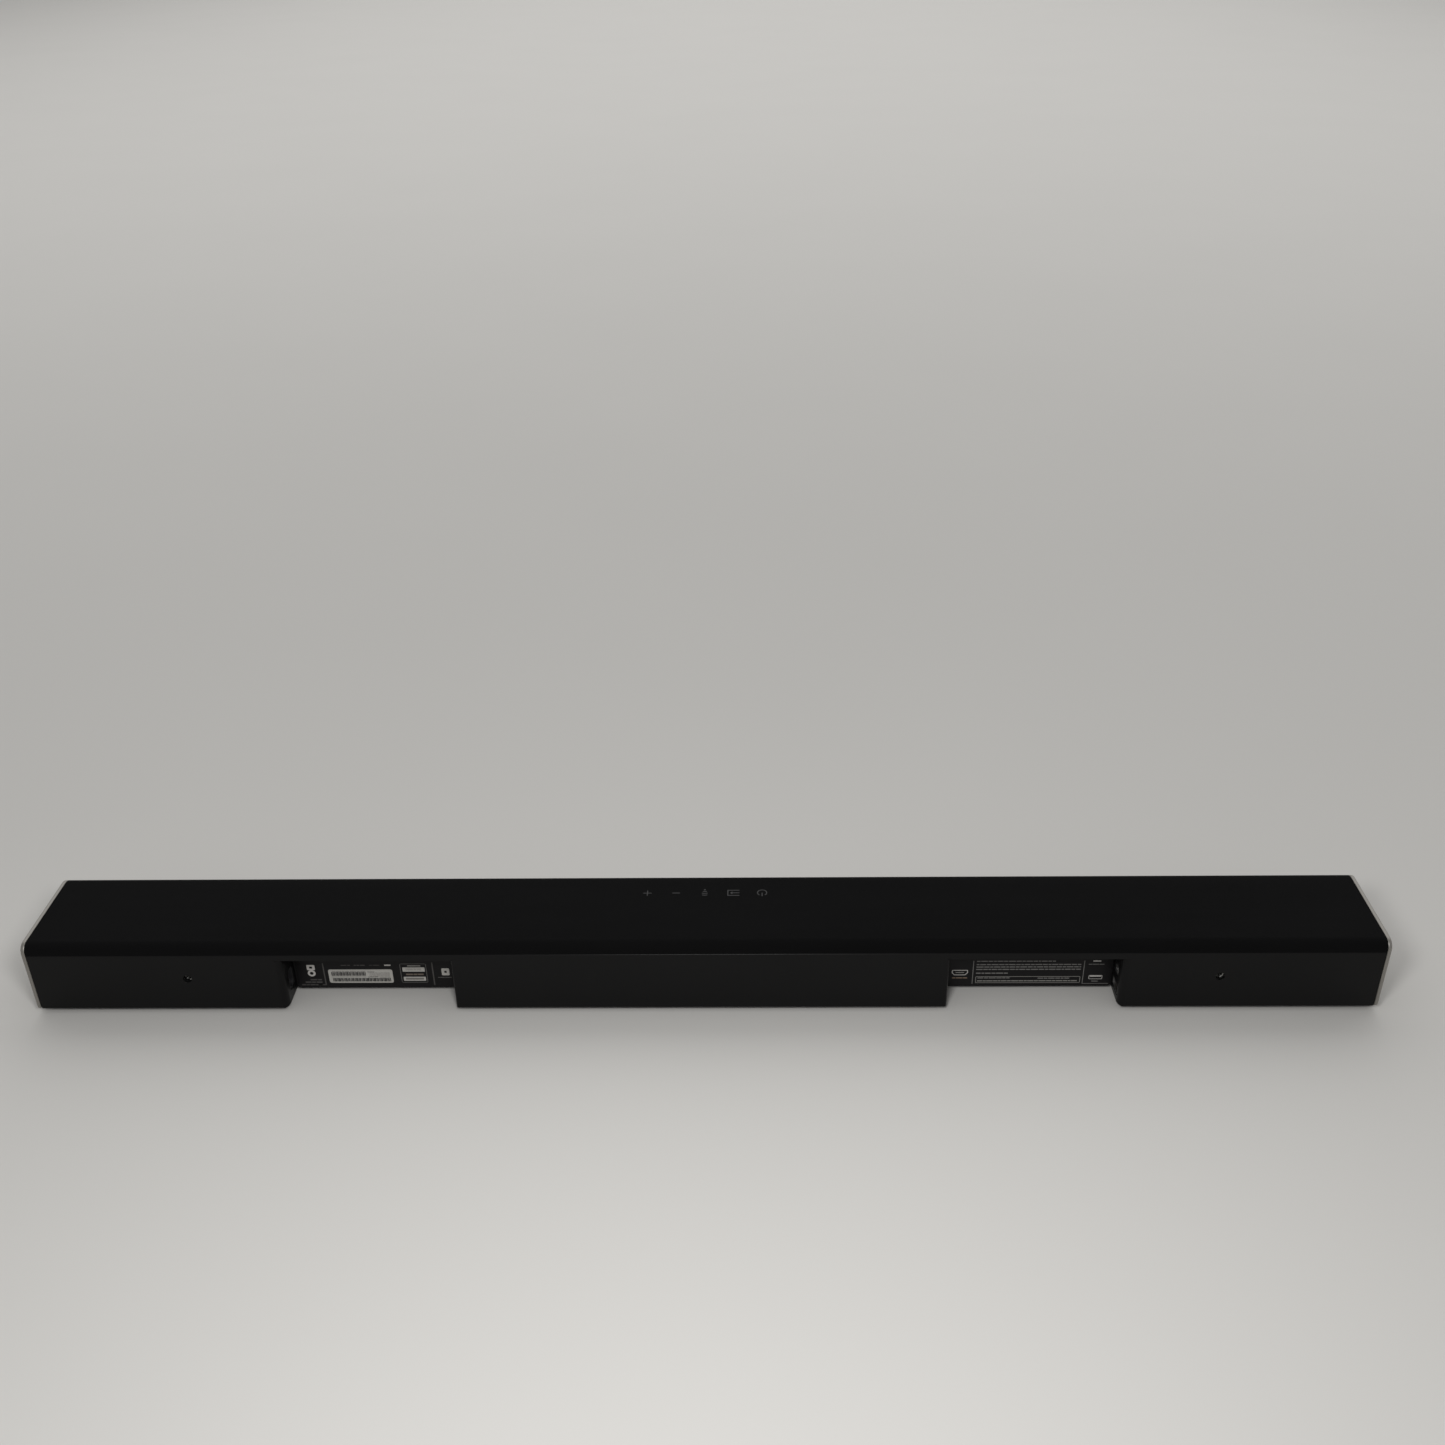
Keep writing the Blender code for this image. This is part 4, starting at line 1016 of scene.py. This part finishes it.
class Print:
    """Ink on a bay's film: shapes given by their distance from the middle and height, in mm."""

    def __init__(self, name, side, material, back=INK_BACK, front=INK_FRONT):
        self.name, self.side, self.material = name, side, material
        self.back, self.front = back, front
        self.bm = bmesh.new()

    def outline(self, x0, x1, z0, z1, radius=0.0, grow=0.0):
        near, far = sorted((self.side * x0 * MM, self.side * x1 * MM))
        grow *= MM
        round_by = max(radius * MM + grow, 0.02 * MM)
        return rectangle(near - grow, far + grow, z0 * MM - grow, z1 * MM + grow, round_by, 4)

    def bar(self, x0, x1, z0, z1, radius=0.1):
        add_prism(self.bm, "Y", self.outline(x0, x1, z0, z1, radius), self.back, self.front)

    def frame(self, x0, x1, z0, z1, stroke, radius=0.3):
        outer = self.outline(x0, x1, z0, z1, radius + stroke)
        inner = self.outline(x0, x1, z0, z1, radius, -stroke)
        add_ring(self.bm, "Y", outer, inner, self.back, self.front)

    def ring(self, x, z, radius, hole):
        x = self.side * x * MM
        outer, inner = (circle(x, z * MM, r * MM, 28) for r in (radius, hole))
        add_ring(self.bm, "Y", outer, inner, self.back, self.front)

    def pierced(self, x0, x1, z0, z1, radius, hole):
        """A rounded block with a round hole in its middle."""
        outer = self.outline(x0, x1, z0, z1, radius)
        middle = sum(outer, Vector((0, 0))) / len(outer)
        inner = [middle + (p - middle).normalized() * hole * MM for p in outer]
        add_ring(self.bm, "Y", outer, inner, self.back, self.front)

    def band(self, outer, inner):
        """A closed stroke between two outlines of (distance, height) points."""
        loops = [[(self.side * x * MM, z * MM) for x, z in points] for points in (outer, inner)]
        add_ring(self.bm, "Y", *loops, self.back, self.front)

    def words(self, x0, x1, z, height, gap=0.9, seed=1):
        """A row of plain blocks that stand for small print; their widths follow a fixed rule."""
        x, k = x0, seed
        while x < x1 - 0.6:
            width = min(1.6 + 3.4 * (k * UNEVEN % 1), x1 - x)
            self.bar(x, x + width, z - height / 2, z + height / 2, 0.05)
            x += width + gap
            k += 1

    def code(self, x0, x1, z0, z1, pitch=0.8, seed=1):
        """A row of upright bars of uneven widths, as on a bar code."""
        for k in range(int((x1 - x0) / pitch)):
            x = x0 + k * pitch
            share = 0.55 + 0.35 * ((k + seed) * UNEVEN % 1)
            self.bar(x, x + pitch * share, z0, z1, 0.02)

    def done(self):
        obj = shade(new_object(self.name, self.bm, self.material))
        return fit(obj, "root")


def mains_bay_prints():
    """The right bay: mains sign, rating label, compliance sticker, optical sign."""
    side = 1
    white = Print("print_right_signs", side, "white_ink")
    white.pierced(267.9, 273.5, 19.6, 24.3, 0.8, 1.2)
    white.ring(270.7, 16.9, 2.75, 1.3)
    white.bar(214.8, 219.2, 23.3, 24.4)
    white.done()

    optical = Print("print_right_optical_sign", side, "label_paper")
    optical.pierced(174.5, 179.9, 14.8, 21.0, 0.7, 1.1)
    optical.done()

    grey = Print("print_right_marks", side, "faint_ink")
    grey.words(222.6, 229.8, 23.9, 0.5, 0.5, 3)
    grey.words(232.8, 240.4, 23.9, 0.8, 0.5, 4)
    grey.words(243.0, 250.0, 23.9, 0.6, 0.6, 5)
    grey.bar(261.6, 262.4, 6.4, 25.8)
    grey.bar(185.5, 186.4, 6.2, 26.2)
    grey.bar(262.3, 267.5, 6.3, 7.1)
    grey.words(264.4, 276.2, 9.0, 1.2, 0.5, 6)
    grey.words(264.4, 273.4, 11.2, 1.1, 0.5, 7)
    grey.words(264.4, 279.0, 6.7, 0.9, 0.4, 8)
    grey.done()

    underline = Print("print_right_outlines", side, "outline_ink")
    underline.words(173.4, 182.8, 13.0, 0.6, 0.3, 3)
    underline.frame(190.2, 208.6, 8.4, 25.2, 0.45, 0.8)
    underline.done()

    rating_label(side)
    compliance_sticker(side)


def rating_label(side):
    paper = Print("rating_label", side, "label_paper", front=PAPER_FRONT)
    paper.bar(214.2, 259.0, 8.4, 20.2, 1.5)
    paper.done()
    ink = Print("rating_label_bars", side, "label_ink", TEXT_BACK, BARS_FRONT)
    ink.code(233.0, 257.2, 14.7, 18.0, 0.86, 2)
    ink.code(216.0, 257.2, 9.6, 12.7, 0.95, 5)
    ink.words(226.8, 231.8, 18.1, 0.35, 0.2, 4)
    ink.words(224.6, 231.8, 13.6, 0.4, 0.2, 2)
    ink.done()
    small = Print("rating_label_text", side, "label_grey", TEXT_BACK, TEXT_FRONT)
    small.words(233.0, 257.2, 13.7, 0.4, 0.3, 7)
    small.words(233.0, 257.2, 18.6, 0.5, 0.4, 9)
    for row in range(4):
        small.words(216.2, 231.6 - 1.5 * (row % 2), 17.2 - 0.95 * row, 0.4, 0.35, 3 + row)
    small.words(216.2, 223.6, 13.3, 0.4, 0.3, 5)
    small.done()


def compliance_sticker(side):
    x0, x1 = 191.5, 206.9
    paper = Print("compliance_sticker", side, "label_paper", front=PAPER_FRONT)
    paper.bar(x0, x1, 18.2, 21.9, 0.4)
    paper.bar(x0 + 2.6, x1 - 3.6, 23.0, 23.5, 0.1)
    paper.bar(x0, x1, 10.1, 13.6, 0.4)
    paper.done()
    ink = Print("compliance_sticker_text", side, "label_grey", TEXT_BACK, TEXT_FRONT)
    ink.bar(x0 + 1.4, x1 - 1.4, 11.1, 12.7, 0.2)
    for z in (19.7, 20.6):
        ink.words(x0 + 2.4, x1 - 2.2, z, 0.4, 0.3, 4)
    ink.done()
    brown = Print("compliance_sticker_band", side, "brown_ink")
    brown.words(x0 + 1.2, x1 - 1.8, 15.7, 1.3, 0.35, 6)
    brown.done()


def service_bay_prints():
    """The left bay: audio and video sign, small print, boxed note, service signs."""
    side = -1
    white = Print("print_left_signs", side, "white_ink")
    outer = [(172.7, 18.3), (183.5, 18.3), (183.7, 15.9), (181.9, 13.8), (174.3, 13.8), (172.5, 15.9)]
    inner = [(173.2, 17.8), (183.0, 17.8), (183.1, 16.1), (181.7, 14.3), (174.5, 14.3), (173.1, 16.1)]
    white.band(outer, inner)
    white.bar(268.4, 273.8, 25.4, 26.4)
    white.frame(266.6, 275.9, 10.1, 13.5, 0.35, 0.2)
    white.bar(267.4, 275.1, 12.2, 13.2, 0.1)
    white.done()

    copper = Print("print_left_video_text", side, "copper_ink")
    copper.words(172.9, 183.4, 11.4, 0.7, 0.3, 2)
    copper.done()

    grey = Print("print_left_small_print", side, "grey_ink")
    grey.bar(186.8, 187.3, 6.0, 26.4)
    grey.bar(262.4, 262.9, 6.0, 26.4)
    grey.words(189.2, 243.0, 25.9, 0.8, 0.5, 2)
    for i, z in enumerate((23.0, 20.9, 18.8)):
        grey.words(189.2, 260.6, z, 0.85, 0.5, 5 + 3 * i)
    grey.words(189.2, 211.0, 15.5, 0.9, 0.5, 4)
    grey.words(190.5, 212.5, 11.3, 0.8, 0.5, 6)
    grey.words(231.8, 253.4, 11.0, 0.8, 0.5, 1)
    grey.words(265.6, 276.4, 23.1, 0.6, 0.3, 2)
    grey.words(268.8, 273.2, 8.3, 0.7, 0.3, 3)
    grey.bar(262.9, 280.6, 6.0, 6.4)
    grey.done()

    bold = Print("print_left_note", side, "note_ink")
    bold.bar(175.2, 181.0, 15.8, 16.4, 0.2)
    bold.frame(189.1, 260.9, 6.9, 12.6, 0.35, 0.2)
    bold.words(190.3, 259.6, 8.7, 0.8, 0.35, 9)
    bold.done()


# ---- stage --------------------------------------------------------------------------------------------
PAPER_COLOUR = (0.64, 0.631, 0.611)
FLOOR_REACH = 30.0  # metres to each side

LIGHT_TINT = (1.0, 0.995, 0.985)
ROOM_LIGHT = 0.41
LAMP_PLACE = (0.0, 0.55, 0.58)
LAMP_POWER = 9.2
LAMP_RADIUS = 0.08
PANEL_PLACE = (0, -7.4, 2.6)
PANEL_POWER = 195
PANEL_SIZE = (8.0, 13.0)

CAMERA_PLACE = (-0.04036, 0.8205, 0.67992)
CAMERA_TURN = (59.9471, 1.0075, -179.0064)  # degrees
CAMERA_LENS = 37.0389  # focal length in mm, for the sensor's width in mm
CAMERA_SENSOR = 36


def plain_paper():
    """Pale matt paper, the same all over but for its fine tooth and faint clouding."""
    made = Material("plain_paper", PAPER_COLOUR, 0.9, specular=0.1)
    made.link(made.shades(made.noise(3, 2), 0.995, 1.005), "Base Color")
    made.bump(made.noise(90, 4), 0.05 * MM, 0.3)
    return made.made


def floor():
    reach = FLOOR_REACH
    bm = bmesh.new()
    corners = ((-reach, -reach), (reach, -reach), (reach, reach), (-reach, reach))
    bm.faces.new([bm.verts.new((x, y, 0)) for x, y in corners])
    obj = new_object("floor", bm)
    obj.data.materials.append(plain_paper())


def add_light(name, kind, place, power):
    """A light of the room's tint, at a place in metres."""
    lamp = bpy.data.lights.new(name, kind)
    lamp.energy = power
    lamp.color = LIGHT_TINT
    obj = bpy.data.objects.new(name, lamp)
    bpy.context.scene.collection.objects.link(obj)
    obj.location = place
    return obj


def lights():
    """An even pale room, a soft lamp over the rear side, and a panel over the floor beyond."""
    world = bpy.data.worlds.new("studio")
    world.use_nodes = True
    background = world.node_tree.nodes["Background"]
    background.inputs["Color"].default_value = (*LIGHT_TINT, 1)
    background.inputs["Strength"].default_value = ROOM_LIGHT
    bpy.context.scene.world = world
    key = add_light("key_lamp", "POINT", LAMP_PLACE, LAMP_POWER)
    key.data.shadow_soft_size = LAMP_RADIUS
    panel = add_light("far_panel", "AREA", PANEL_PLACE, PANEL_POWER)
    panel.data.shape = "RECTANGLE"
    panel.data.size, panel.data.size_y = PANEL_SIZE
    panel.visible_camera = False


def camera():
    lens = bpy.data.cameras.new("camera")
    lens.lens = CAMERA_LENS
    lens.sensor_width = CAMERA_SENSOR
    lens.clip_start = 0.01
    eye = bpy.data.objects.new("camera", lens)
    bpy.context.scene.collection.objects.link(eye)
    eye.location = CAMERA_PLACE
    eye.rotation_euler = [math.radians(a) for a in CAMERA_TURN]
    bpy.context.scene.camera = eye


def build():
    camera()
    finish_cad_nodes()
    skin, length = cloth_skin()
    patches = [patch for name, x in key_places() for patch in cloth_over_key(name, x)]
    key_marks()
    housing_shell()
    sockets()
    end_plates()
    feet()
    wall_inserts()
    screws()
    mains_bay_prints()
    service_bay_prints()
    floor()
    lights()
    bpy.context.scene.view_settings.view_transform = "Standard"


build()
